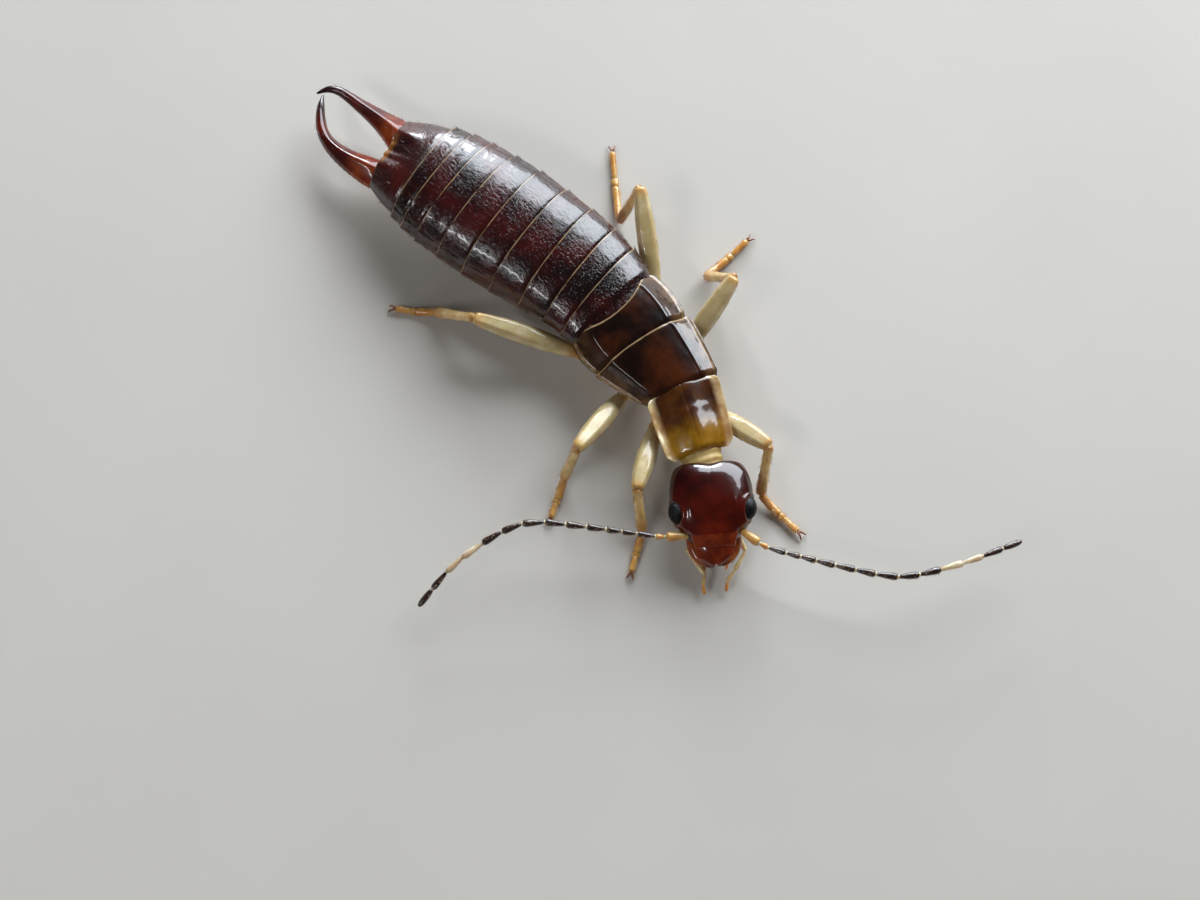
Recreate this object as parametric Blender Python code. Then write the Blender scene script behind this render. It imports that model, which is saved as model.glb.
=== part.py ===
"""A male earwig of a wingless kind, standing still, at life size.

Sizes and places are in millimetres on a flat floor at height 0, and MM turns them into metres.
The animal faces -Y, its left side is +X and its back is up.
"""
import math
from collections import namedtuple

import bmesh
import bpy
from mathutils import Matrix, Vector

MM = 0.001
GAP = 0.06                    # air between two pieces that meet
CENTRE = Vector((0.270, 1.555, 0.0))   # middle of the whole outline on the floor

# The back of the animal is a chain of plates. Headings turn from +Y toward +X, in degrees.
PRONOTUM_FRONT = Vector((1.56, -1.72, 0.0))
HEAD_BACK = Vector((1.48, -2.09, 0.0))
HEAD_HEADING = 33.8

# A plate's heading is its midline's and rear_plane is the heading of the plane at its hind rim.
# Below its widest line, at the height edge, the body narrows to low_share of the plate's width.
Plate = namedtuple(
    "Plate",
    "name length heading rear_plane front_half rear_half front_top rear_top edge belly low_share power",
)
PLATES = (
    Plate("prothorax", 1.50, 21.4, 15.0, 0.78, 0.88, 1.30, 1.42, 1.16, 0.50, 0.70, 1.9),
    Plate("mesothorax", 1.37, -1.7, 4.0, 0.94, 1.32, 1.42, 1.55, 1.12, 0.46, 0.72, 1.9),
    Plate("metathorax", 1.15, 1.5, -5.0, 1.24, 1.27, 1.52, 1.62, 1.10, 0.43, 0.74, 1.9),
    Plate("abdomen_1", 0.52, 2.0, -12.0, 1.23, 1.31, 1.60, 1.68, 1.08, 0.42, 0.70, 2.2),
    Plate("abdomen_2", 0.58, -6.0, -14.5, 1.30, 1.38, 1.68, 1.77, 1.06, 0.37, 0.76, 2.2),
    Plate("abdomen_3", 0.70, -14.0, -15.5, 1.38, 1.44, 1.77, 1.86, 1.03, 0.33, 0.86, 2.3),
    Plate("abdomen_4", 0.78, -16.4, -15.0, 1.44, 1.49, 1.86, 1.93, 1.00, 0.30, 0.93, 2.3),
    Plate("abdomen_5", 0.76, -16.8, -15.0, 1.49, 1.53, 1.93, 1.97, 1.00, 0.28, 0.94, 2.3),
    Plate("abdomen_6", 0.72, -17.0, -14.5, 1.53, 1.51, 1.97, 1.96, 1.00, 0.28, 0.94, 2.3),
    Plate("abdomen_7", 0.64, -17.3, -14.5, 1.51, 1.47, 1.96, 1.91, 1.00, 0.31, 0.94, 2.3),
    Plate("abdomen_8", 0.48, -17.0, -15.0, 1.46, 1.41, 1.91, 1.84, 1.00, 0.35, 0.93, 2.3),
    Plate("abdomen_9", 0.42, -17.0, -17.0, 1.40, 1.31, 1.84, 1.76, 0.98, 0.41, 0.92, 2.3),
    Plate("abdomen_10", 1.04, -22.0, -24.0, 1.28, 0.94, 1.76, 1.34, 0.94, 0.52, 0.90, 2.3),
)
FIRST_PLANE = 20.0            # heading of the pronotum's front rim
TUCK = 0.95                   # a plate's front rim is this share of its width, under the plate before
PRONOTUM_TUCK = 0.97
TUCK_DROP = 1.6               # the front rim's top sinks this much faster than it narrows
TUCK_LENGTH = 0.10            # mm from the front rim to the full width
LIP = 0.02                    # mm that the rear rim stands proud
BODY_SHARES = (0.5, 0.86)     # shares of a plate's length where further sections stand
PLATE_SIDES = 24
RIM_LIFT = 0.06               # mm that the pronotum's side rims turn up
RIM_POWER = 8                 # how closely that lift keeps to the rim
BACK_POWER = 2.3              # squareness of a back and of a belly, where 2 is a plain arc
BELLY_POWER = 2.4

# The last plate carries two low humps over the roots of the forceps and a groove between them.
HUMP_SIDE = 0.48
HUMP_WIDTH = 0.20
HUMP_HEIGHT = 0.10
GROOVE_WIDTH = 0.16
GROOVE_DEPTH = 0.08

# Head sections, from the back lobes to the tip of the upper lip: distance forward of the neck
# notch, half width, height of the widest line, top and underside.
HEAD_SECTIONS = (
    (-0.14, 0.56, 0.86, 1.10, 0.60),
    (-0.06, 0.74, 0.88, 1.20, 0.53),
    (0.15, 0.87, 0.90, 1.28, 0.47),
    (0.45, 0.94, 0.90, 1.34, 0.43),
    (0.80, 0.95, 0.90, 1.35, 0.41),
    (1.10, 0.91, 0.88, 1.31, 0.41),
    (1.35, 0.80, 0.80, 1.20, 0.42),
    (1.52, 0.65, 0.74, 1.06, 0.43),
    (1.60, 0.54, 0.70, 0.97, 0.44),
    (1.80, 0.49, 0.66, 0.86, 0.46),
    (1.84, 0.42, 0.62, 0.79, 0.47),
    (2.04, 0.36, 0.58, 0.69, 0.47),
    (2.15, 0.22, 0.55, 0.61, 0.49),
)
HEAD_LOW_SHARE = 0.9              # width of the head's underside as a share of its width
HEAD_SIDES = 24
EYE_FORWARD = 0.97
EYE_SIDE = 0.80
EYE_HEIGHT = 0.96
EYE_SIZE = (0.17, 0.25, 0.20)     # half sizes across, along and up
EYE_TURN = 8.0                    # degrees that an eye's length turns outward at the back
EYE_SIDES = (14, 9)
NECK_RADII = ((0.36, 0.22), (0.38, 0.25), (0.41, 0.26))    # half width and half height
NECK_HEIGHT = 0.86
NECK_DEPTH = 0.26                 # mm that the neck reaches into the head
NECK_MIDDLE = 0.45
NECK_SIDES = 16

# Mandible, from its root under the cheek to its tip under the lip: forward, side, height, half size.
MANDIBLE_PATH = (
    (1.30, 0.48, 0.49), (1.62, 0.53, 0.49), (1.90, 0.43, 0.49), (2.10, 0.24, 0.48), (2.20, 0.08, 0.47),
)
MANDIBLE_RADII = ((0.12, 0.10), (0.15, 0.11), (0.14, 0.10), (0.10, 0.08), (0.04, 0.05))
# The long palp, from its root under the head, the same way.
PALP_PATH = (
    (1.12, 0.36, 0.40), (1.42, 0.56, 0.25), (1.82, 0.64, 0.25), (2.26, 0.38, 0.24), (2.74, 0.28, 0.16),
)
PALP_RADII = (0.12, 0.12, 0.11, 0.13, 0.07)
MOUTHPART_SIDES = 8

# Forceps, from root to tip: x, y and height with half width and half height.
FORCEPS = {
    "right": (
        (-0.12, 8.42, 0.86, 0.34, 0.30), (-0.25, 8.70, 0.86, 0.32, 0.30), (-0.40, 9.04, 0.86, 0.27, 0.27),
        (-0.50, 9.42, 0.84, 0.23, 0.24), (-0.53, 9.80, 0.82, 0.19, 0.21), (-0.46, 10.13, 0.80, 0.16, 0.18),
        (-0.30, 10.42, 0.77, 0.14, 0.15), (-0.08, 10.67, 0.72, 0.11, 0.12), (0.16, 10.86, 0.66, 0.03, 0.04),
    ),
    "left": (
        (0.83, 8.85, 0.88, 0.36, 0.30), (0.82, 9.08, 0.88, 0.34, 0.30), (0.77, 9.36, 0.90, 0.28, 0.27),
        (0.69, 9.70, 0.92, 0.24, 0.24), (0.60, 10.03, 0.95, 0.21, 0.21), (0.52, 10.33, 0.98, 0.18, 0.18),
        (0.42, 10.60, 1.01, 0.14, 0.15), (0.25, 10.82, 1.03, 0.10, 0.11), (0.03, 10.95, 1.04, 0.03, 0.04),
    ),
}
FORCEPS_SIDES = 12
FORCEPS_POWER = 1.8               # under 2 the section has a ridge along the top

# Antennae: fifteen joints each. Their lengths are shared along a smooth path.
ANTENNA_JOINTS = (
    0.70, 0.22, 0.42, 0.33, 0.36, 0.43, 0.46, 0.46, 0.50, 0.48, 0.50, 0.54, 0.46, 0.50, 0.50,
)
ANTENNA_PATHS = {
    "right": (
        (0.32, -3.08, 0.78), (0.17, -2.99, 0.82), (-0.35, -2.67, 0.94), (-1.02, -2.03, 1.08),
        (-1.75, -1.33, 1.20), (-2.37, -0.75, 1.22), (-2.81, -0.52, 1.20), (-3.48, -0.37, 1.08),
        (-4.47, -0.32, 0.86), (-5.57, -0.53, 0.58),
    ),
    "left": (
        (1.15, -3.48, 0.78), (1.22, -3.63, 0.81), (1.34, -4.26, 0.93), (1.86, -5.04, 1.04),
        (2.57, -5.97, 1.10), (3.22, -6.68, 1.10), (3.99, -7.08, 1.08), (4.89, -7.41, 1.02),
        (5.96, -7.72, 0.94),
    ),
}
CURVE_STEPS = 12
ANTENNA_ROOT_RADIUS = 0.25
ANTENNA_TIP_RADIUS = 0.17
ANTENNA_POINT_RADIUS = 0.05
ANTENNA_RINGS = ((0.03, 0.80), (0.55, 1.0), (0.88, 0.96))    # share of a joint and width there
ANTENNA_SIDES = 8

# Legs: hip, trochanter, knee and ankle as (x, y, height), and the toe on the floor.
Leg = namedtuple("Leg", "hip trochanter knee ankle toe")
LEGS = {
    "left_front": Leg(
        (2.24, -0.80, 0.64), (2.52, -1.04, 0.54), (2.86, -2.54, 1.12), (2.18, -3.16, 0.32), (2.34, -4.33),
    ),
    "left_middle": Leg(
        (2.46, 0.40, 0.64), (2.90, 0.54, 0.54), (4.72, 1.02, 1.42), (4.56, 1.78, 0.32), (5.92, 1.91),
    ),
    "left_hind": Leg(
        (2.50, 1.60, 0.62), (3.18, 1.96, 0.46), (4.40, 4.12, 1.42), (3.80, 4.13, 0.32), (4.82, 5.69),
    ),
    "right_front": Leg(
        (1.60, -0.56, 0.64), (1.26, -0.46, 0.54), (-0.10, -1.48, 1.02), (-0.47, -2.16, 0.32), (-1.22, -2.73),
    ),
    "right_middle": Leg(
        (1.60, 0.40, 0.64), (1.18, 0.58, 0.54), (-0.62, 0.05, 1.26), (-1.12, -0.09, 0.32), (-1.89, -0.60),
    ),
    "right_hind": Leg(
        (1.54, 1.66, 0.64), (0.98, 2.02, 0.50), (-0.56, 3.96, 1.28), (-0.99, 4.97, 0.32), (-1.66, 5.66),
    ),
}
COXA_RADII = (0.29, 0.29, 0.26)
FEMUR_RADII = (0.25, 0.27, 0.30, 0.29, 0.26, 0.25)
TIBIA_RADII = (0.25, 0.25, 0.25, 0.25)
# A foot is three joints long: shares of its length, with the radius and height at each.
TARSUS = (
    (0.0, 0.23, 0.32), (0.20, 0.21, 0.21), (0.42, 0.21, 0.17), (0.50, 0.16, 0.15), (0.60, 0.20, 0.16),
    (0.70, 0.15, 0.14), (0.84, 0.18, 0.15), (1.0, 0.12, 0.12),
)
LIMB_SIDES = 10
# Two claws spread from the toe: distance ahead of it, height and radius.
CLAW = ((-0.10, 0.12, 0.055), (0.09, 0.12, 0.05), (0.21, 0.02, 0.012))
CLAW_SPREAD = 26.0
CLAW_SIDES = 6

SHARP_ANGLE = 40.0                # edges bent more than this are drawn sharp
Z_AXIS = Vector((0.0, 0.0, 1.0))


def clear_scene():
    """Remove what the file starts with."""
    for item in list(bpy.data.objects):
        bpy.data.objects.remove(item, do_unlink=True)


def new_collection(name):
    """Make a collection in the scene."""
    group = bpy.data.collections.new(name)
    bpy.context.scene.collection.children.link(group)
    return group


def finish(name, colour, roughness):
    """Make a plain surface with the part's colour."""
    material = bpy.data.materials.new(name)
    material.use_nodes = True
    shader = material.node_tree.nodes["Principled BSDF"]
    shader.inputs["Base Color"].default_value = (*colour, 1.0)
    shader.inputs["Roughness"].default_value = roughness
    shader.inputs["Metallic"].default_value = 0.0
    return material


def heading_vector(degrees):
    """Unit vector on the floor that points tailward for a heading."""
    angle = math.radians(degrees)
    return Vector((math.sin(angle), math.cos(angle), 0.0))


def side_vector(degrees):
    """Unit vector on the floor that points to the animal's left for a heading."""
    angle = math.radians(degrees)
    return Vector((math.cos(angle), -math.sin(angle), 0.0))


def place_matrix(origin, heading):
    """Frame of a piece: its origin in mm and its own +Y tailward."""
    return Matrix.Translation(origin) @ Matrix.Rotation(-math.radians(heading), 4, "Z")


def loft_mesh(name, rings):
    """Skin rings of equal count, given in mm, and close both ends with flat caps."""
    mesh_data = bmesh.new()
    rows = [[mesh_data.verts.new(point * MM) for point in ring] for ring in rings]
    count = len(rings[0])
    for row, following in zip(rows, rows[1:]):
        for index in range(count):
            after = (index + 1) % count
            mesh_data.faces.new((row[index], row[after], following[after]))
            mesh_data.faces.new((row[index], following[after], following[index]))
    for row in (rows[0], rows[-1]):
        mesh_data.faces.new(row)
    caps = [face for face in mesh_data.faces if len(face.verts) > 3]
    bmesh.ops.triangulate(mesh_data, faces=caps)
    bmesh.ops.recalc_face_normals(mesh_data, faces=mesh_data.faces)
    mesh = bpy.data.meshes.new(name)
    mesh_data.to_mesh(mesh)
    mesh_data.free()
    return mesh


def seat(name, rings, origin, heading, material):
    """Turn rings given on the floor plan into an object with its own origin and heading."""
    frame = place_matrix(origin, heading)
    inverse = frame.inverted()
    mesh = loft_mesh(name, [[inverse @ point for point in ring] for ring in rings])
    piece = bpy.data.objects.new(name, mesh)
    spot = (origin - CENTRE) * MM
    piece.parent = STANCE
    piece.location = spot
    piece.rotation_euler = (0.0, 0.0, -math.radians(heading))
    if material:
        mesh.materials.append(material)
        mesh.shade_smooth()
        mesh.set_sharp_from_angle(angle=math.radians(SHARP_ANGLE))
        PARTS.objects.link(piece)
    else:
        piece.hide_render = True
        piece.display_type = "WIRE"
        CUTTERS.objects.link(piece)
    return piece


def cut(piece, cutter, solver="EXACT"):
    """Take the cutter's shape out of a piece.

    The hip sockets use the manifold solver, because the exact one emptied the pronotum.
    """
    modifier = piece.modifiers.new(cutter.name, "BOOLEAN")
    modifier.operation = "DIFFERENCE"
    modifier.solver = solver
    modifier.object = cutter


def join(piece, extras):
    """Fuse closed pieces into one, and keep only its largest closed surface."""
    group = new_collection("pieces of " + piece.name)
    for extra in extras:
        CUTTERS.objects.unlink(extra)
        group.objects.link(extra)
    modifier = piece.modifiers.new("join", "BOOLEAN")
    modifier.operation = "UNION"
    modifier.solver = "EXACT"
    modifier.operand_type = "COLLECTION"
    modifier.collection = group
    bpy.context.view_layer.update()
    whole = piece.evaluated_get(bpy.context.evaluated_depsgraph_get())
    mesh = bpy.data.meshes.new_from_object(whole)
    piece.modifiers.remove(modifier)
    piece.data = mesh
    for extra in extras:
        bpy.data.objects.remove(extra, do_unlink=True)
    bpy.data.collections.remove(group)
    keep_largest(mesh)


def keep_largest(mesh):
    """Drop every closed surface of a mesh but the one that holds the most."""
    work = bmesh.new()
    work.from_mesh(mesh)
    left = set(work.faces)
    surfaces = []
    while left:
        grown = {left.pop()}
        front = list(grown)
        while front:
            face = front.pop()
            for edge in face.edges:
                for other in edge.link_faces:
                    if other in left:
                        left.remove(other)
                        grown.add(other)
                        front.append(other)
        volume = sum(face.verts[0].co.dot(face.normal) * face.calc_area() for face in grown)
        surfaces.append((volume, grown))
    surfaces.sort(key=lambda item: item[0])
    scraps = [face for volume, grown in surfaces[:-1] for face in grown]
    bmesh.ops.delete(work, geom=scraps, context="FACES")
    work.to_mesh(mesh)
    work.free()


def power_curve(value, power):
    """Keep a sine's sign and square its arc off."""
    return math.copysign(abs(value) ** (2.0 / power), value)


def section(half, edge, top, low_half, belly, sides, back_power=BACK_POWER):
    """Outline of a flattened body: a dome over the widest line and a narrower belly under it."""
    points = []
    for index in range(sides):
        turn = 2.0 * math.pi * index / sides
        if index <= sides // 2:
            side = half * power_curve(math.cos(turn), back_power)
            height = edge + (top - edge) * power_curve(math.sin(turn), back_power)
        else:
            side = low_half * power_curve(math.cos(turn), BELLY_POWER)
            height = edge + (edge - belly) * power_curve(math.sin(turn), BELLY_POWER)
        points.append((side, height))
    return points


def stand_section(points, middle, heading):
    """Stand a section up across a heading, with its middle over a place on the floor."""
    side = side_vector(heading)
    return [middle + side * across + Z_AXIS * height for across, height in points]


def mix(first, second, share):
    """Value that lies a share of the way from the first to the second."""
    return first + (second - first) * share


def plate_stations():
    """Places and headings of the planes between the plates, walked from the front."""
    places = [PRONOTUM_FRONT.copy()]
    for plate in PLATES:
        places.append(places[-1] + heading_vector(plate.heading) * plate.length)
    headings = [FIRST_PLANE] + [plate.rear_plane for plate in PLATES]
    return places, headings


def pronotum_form(points, plate):
    """Turn up the side rims of the pronotum."""
    half = max(across for across, height in points)
    shaped = []
    for across, height in points:
        if height >= plate.edge:
            height += RIM_LIFT * (abs(across) / half) ** RIM_POWER
        shaped.append((across, height))
    return shaped


def last_plate_form(points, share):
    """Raise the humps and sink the groove of the last plate toward its rear."""
    shaped = []
    for across, height in points:
        if height > PLATES[-1].edge:
            hump = math.exp(-((abs(across) - HUMP_SIDE) / HUMP_WIDTH) ** 2)
            groove = math.exp(-(across / GROOVE_WIDTH) ** 2)
            height += share * (HUMP_HEIGHT * hump - GROOVE_DEPTH * groove)
        shaped.append((across, height))
    return shaped


def plate_section(plate, share, scale, lip):
    """Outline of one plate at a share of its length."""
    half = mix(plate.front_half, plate.rear_half, share) * scale + lip
    top = mix(plate.front_top, plate.rear_top, share) + lip
    top = plate.edge + (top - plate.edge) * mix(1.0, scale, TUCK_DROP)
    low_half = half * plate.low_share
    points = section(half, plate.edge, top, low_half, plate.belly, PLATE_SIDES, plate.power)
    if plate.name == "prothorax":
        points = pronotum_form(points, plate)
    if plate.name == "abdomen_10":
        points = last_plate_form(points, share)
    return points


def build_plates():
    """Make the thorax and the abdomen, one closed body for each plate and its underside."""
    places, headings = plate_stations()
    for number, plate in enumerate(PLATES):
        direction = heading_vector(plate.heading)
        tuck = PRONOTUM_TUCK if plate.name == "prothorax" else TUCK
        rows = [(0.0, tuck, 0.0), (TUCK_LENGTH / plate.length, 1.0, 0.0)]
        rows += [(share, 1.0, 0.0) for share in BODY_SHARES]
        rows.append((1.0, 1.0, LIP))
        rings = []
        for share, scale, lip in rows:
            middle = places[number] + direction * (share * plate.length)
            if share == 0.0:
                middle = middle + direction * (GAP / 2.0)
            if share == 1.0:
                middle = middle - direction * (GAP / 2.0)
            heading = mix(headings[number], headings[number + 1], share)
            rings.append(stand_section(plate_section(plate, share, scale, lip), middle, heading))
        BUILT[plate.name] = seat(plate.name, rings, places[number], plate.heading, FINISHES[plate.name])


def head_place(forward, side, height):
    """Place in the head's own measures: forward of the neck notch, to its left, and up."""
    spot = HEAD_BACK - heading_vector(HEAD_HEADING) * forward + side_vector(HEAD_HEADING) * side
    return Vector((spot.x, spot.y, height))


def build_head():
    """Make the head capsule with its lip, and the neck in its notch."""
    rings = []
    for forward, half, edge, top, belly in HEAD_SECTIONS:
        points = section(half, edge, top, half * HEAD_LOW_SHARE, belly, HEAD_SIDES)
        rings.append(stand_section(points, head_place(forward, 0.0, 0.0), HEAD_HEADING))
    head = seat("head", rings, HEAD_BACK, HEAD_HEADING, FINISHES["head"])
    BUILT["head"] = head
    neck_front = head_place(NECK_DEPTH, 0.0, NECK_HEIGHT)
    neck_back = Vector((PRONOTUM_FRONT.x, PRONOTUM_FRONT.y, NECK_HEIGHT))
    neck_back = neck_back - heading_vector(PLATES[0].heading) * (GAP / 2.0)
    path = (neck_front, neck_front.lerp(neck_back, NECK_MIDDLE), neck_back)
    end = heading_vector(PLATES[0].heading)
    rings = tube(path, NECK_RADII, NECK_SIDES, end_normal=end)
    BUILT["neck"] = seat("neck", rings, HEAD_BACK, HEAD_HEADING, FINISHES["neck"])
    wide = tube(path, NECK_RADII, NECK_SIDES, end_normal=end, grow=GAP)
    cut(head, seat("neck socket", wide, HEAD_BACK, HEAD_HEADING, None))


def tube(path, radii, sides, start_normal=None, end_normal=None, grow=0.0, power=2.0, floor=False):
    """Rings along a path, in planes across it or across the end normals, wider by grow.

    A radius is one number, or a half width with a half height.
    """
    path = [Vector(point) for point in path]
    rings = []
    last = len(path) - 1
    for index, point in enumerate(path):
        before = path[max(index - 1, 0)]
        after = path[min(index + 1, last)]
        along = (after - before).normalized()
        side = along.cross(Z_AXIS).normalized()
        up = side.cross(along)
        normal = {0: start_normal, last: end_normal}.get(index)
        if normal is not None:
            turn = along.rotation_difference(Vector(normal))
            side.rotate(turn)
            up.rotate(turn)
        wide, high = radii[index] if isinstance(radii[index], tuple) else (radii[index], radii[index])
        middle = point
        if grow and index == 0:
            middle = point - along * grow
        ring = []
        for step in range(sides):
            angle = 2.0 * math.pi * step / sides
            across = (wide + grow) * power_curve(math.cos(angle), power)
            lift = (high + grow) * power_curve(math.sin(angle), power)
            spot = middle + side * across + up * lift
            if floor:
                spot.z = max(spot.z, 0.0)
            ring.append(spot)
        rings.append(ring)
    return rings


def eye_ball(name, place, turn, grow):
    """An egg-shaped body in the side of the head, wider by grow."""
    mesh = bpy.data.meshes.new(name)
    ball = bmesh.new()
    bmesh.ops.create_uvsphere(ball, u_segments=EYE_SIDES[0], v_segments=EYE_SIDES[1], radius=1.0)
    bmesh.ops.scale(ball, vec=[(value + grow) * MM for value in EYE_SIZE], verts=ball.verts)
    ball.to_mesh(mesh)
    ball.free()
    piece = bpy.data.objects.new(name, mesh)
    piece.parent = STANCE
    piece.location = (place - CENTRE) * MM
    piece.rotation_euler = (0.0, 0.0, -math.radians(HEAD_HEADING + turn))
    return piece


def build_eyes():
    """Set each eye in a socket in the side of the head."""
    for side_name, sign in (("left", 1.0), ("right", -1.0)):
        place = head_place(EYE_FORWARD, sign * EYE_SIDE, EYE_HEIGHT)
        eye = eye_ball("eye_" + side_name, place, sign * EYE_TURN, 0.0)
        eye.data.materials.append(FINISHES["eye"])
        eye.data.shade_smooth()
        PARTS.objects.link(eye)
        socket = eye_ball("eye socket " + side_name, place, sign * EYE_TURN, GAP)
        socket.hide_render = True
        socket.display_type = "WIRE"
        CUTTERS.objects.link(socket)
        cut(BUILT["head"], socket)


def build_mouthparts():
    """Set the mandibles and the long palps in sockets under the front of the head."""
    kinds = (("mandible", MANDIBLE_PATH, MANDIBLE_RADII), ("palp", PALP_PATH, PALP_RADII))
    for side_name, sign in (("left", 1.0), ("right", -1.0)):
        for kind, path, radii in kinds:
            places = [head_place(forward, sign * side, height) for forward, side, height in path]
            name = kind + "_" + side_name
            rings = tube(places, radii, MOUTHPART_SIDES)
            BUILT[name] = seat(name, rings, places[0], HEAD_HEADING, FINISHES[kind])
            wide = tube(places, radii, MOUTHPART_SIDES, grow=GAP)
            cut(BUILT["head"], seat(kind + " socket " + side_name, wide, places[0], HEAD_HEADING, None))


def build_forceps():
    """Make the two unequal branches: the right one is bowed and the left one hooks over it."""
    base = PLATES[-1].rear_plane
    for side_name, stations in FORCEPS.items():
        path = [station[:3] for station in stations]
        radii = [station[3:] for station in stations]
        normal = heading_vector(base)
        rings = tube(path, radii, FORCEPS_SIDES, start_normal=normal, power=FORCEPS_POWER)
        name = "forceps_" + side_name
        BUILT[name] = seat(name, rings, Vector(path[0]), base, FINISHES["forceps"])


def smooth_path(points, steps):
    """Close points on a smooth curve that passes through the given ones."""
    points = [Vector(point) for point in points]
    points = [points[0] * 2.0 - points[1]] + points + [points[-1] * 2.0 - points[-2]]
    curve = []
    for before, start, end, after in zip(points, points[1:], points[2:], points[3:]):
        for step in range(steps):
            share = step / steps
            bend = (end - before) * 0.5
            next_bend = (after - start) * 0.5
            square, cube = share ** 2, share ** 3
            curve.append(start * (2 * cube - 3 * square + 1) + bend * (cube - 2 * square + share)
                         + end * (3 * square - 2 * cube) + next_bend * (cube - square))
    curve.append(points[-2])
    return curve


def read_path(curve, distances):
    """Places at the given distances along a curve of close points."""
    places = []
    for distance in distances:
        left = distance
        for start, end in zip(curve, curve[1:]):
            length = (end - start).length
            if left <= length or end is curve[-1]:
                places.append(start.lerp(end, min(left / length, 1.0)))
                break
            left -= length
    return places


def build_antennae():
    """Thread each antenna's joints on its path, every joint wider in its middle."""
    for side_name, points in ANTENNA_PATHS.items():
        curve = smooth_path(points, CURVE_STEPS)
        total = sum((end - start).length for start, end in zip(curve, curve[1:]))
        scale = total / sum(ANTENNA_JOINTS)
        distances = []
        radii = []
        start = 0.0
        for joint in ANTENNA_JOINTS:
            length = joint * scale
            thick = mix(ANTENNA_ROOT_RADIUS, ANTENNA_TIP_RADIUS, start / total)
            for share, width in ANTENNA_RINGS:
                distances.append(start + length * share)
                radii.append(thick * width)
            start += length
        distances.append(total)
        radii.append(ANTENNA_POINT_RADIUS)
        places = read_path(curve, distances)
        name = "antenna_" + side_name
        rings = tube(places, radii, ANTENNA_SIDES)
        BUILT[name] = seat(name, rings, places[0], HEAD_HEADING, FINISHES["antenna"])
        wide = tube(places[:3], radii[:3], ANTENNA_SIDES, grow=GAP)
        root = seat("antenna socket " + side_name, wide, places[0], HEAD_HEADING, None)
        cut(BUILT["head"], root)
        cut(BUILT["mandible_" + side_name], root)


def limb(name, start, end, start_normal, end_normal, radii, material):
    """A straight joint of a leg whose end faces follow the planes between it and its neighbours."""
    start = start + start_normal * (GAP / 2.0)
    end = end - end_normal * (GAP / 2.0)
    last = len(radii) - 1
    shares = [index / last for index in range(last + 1)]
    path = [start.lerp(end, share) for share in shares]
    rings = tube(path, radii, LIMB_SIDES, start_normal=start_normal, end_normal=end_normal)
    flat = end - start
    heading = math.degrees(math.atan2(flat.x, flat.y))
    BUILT[name] = seat(name, rings, start, heading, material)


def build_tarsus(name, ankle, toe, start_normal):
    """Lay a foot along the floor on a flat sole and give it two claws."""
    flat = Vector((toe[0] - ankle.x, toe[1] - ankle.y, 0.0))
    path = []
    for share, radius, height in TARSUS:
        path.append(Vector((ankle.x, ankle.y, 0.0)) + flat * share + Z_AXIS * height)
    path[0] = path[0] + start_normal * (GAP / 2.0)
    radii = [radius for share, radius, height in TARSUS]
    heading = math.degrees(math.atan2(flat.x, flat.y))
    rings = tube(path, radii, LIMB_SIDES, start_normal=start_normal, floor=True)
    foot = seat(name, rings, path[0], heading, FINISHES["tarsus"])
    claws = []
    for sign in (-1.0, 1.0):
        way = heading_vector(heading + sign * CLAW_SPREAD)
        toe_place = Vector((toe[0], toe[1], 0.0))
        claw_path = [toe_place + way * ahead + Z_AXIS * height for ahead, height, radius in CLAW]
        claw_radii = [radius for ahead, height, radius in CLAW]
        claw_rings = tube(claw_path, claw_radii, CLAW_SIDES, floor=True)
        claws.append(seat(name + " claw", claw_rings, claw_path[0], heading, None))
    join(foot, claws)
    BUILT[name] = foot


def build_legs():
    """Make six legs of four pieces each: coxa, femur, tibia and tarsus."""
    thorax = {"front": "prothorax", "middle": "mesothorax", "hind": "metathorax"}
    for leg, joints in LEGS.items():
        hip, trochanter, knee, ankle = (Vector(point) for point in joints[:4])
        toe = joints.toe
        foot = Vector((toe[0], toe[1], TARSUS[1][2]))
        bones = (trochanter - hip, knee - trochanter, ankle - knee, foot - ankle)
        ways = [bone.normalized() for bone in bones]
        turns = [(way + following).normalized() for way, following in zip(ways, ways[1:])]
        limb("coxa_" + leg, hip, trochanter, ways[0], turns[0], COXA_RADII, FINISHES["coxa"])
        limb("femur_" + leg, trochanter, knee, turns[0], turns[1], FEMUR_RADII, FINISHES["femur"])
        limb("tibia_" + leg, knee, ankle, turns[1], turns[2], TIBIA_RADII, FINISHES["tibia"])
        build_tarsus("tarsus_" + leg, ankle, toe, turns[2])
        wide = tube((hip, hip.lerp(trochanter, 0.5), trochanter), COXA_RADII, LIMB_SIDES, grow=GAP)
        socket = seat("coxa socket " + leg, wide, hip, 0.0, None)
        cut(BUILT[thorax[leg.split("_")[1]]], socket, "MANIFOLD")


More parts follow.
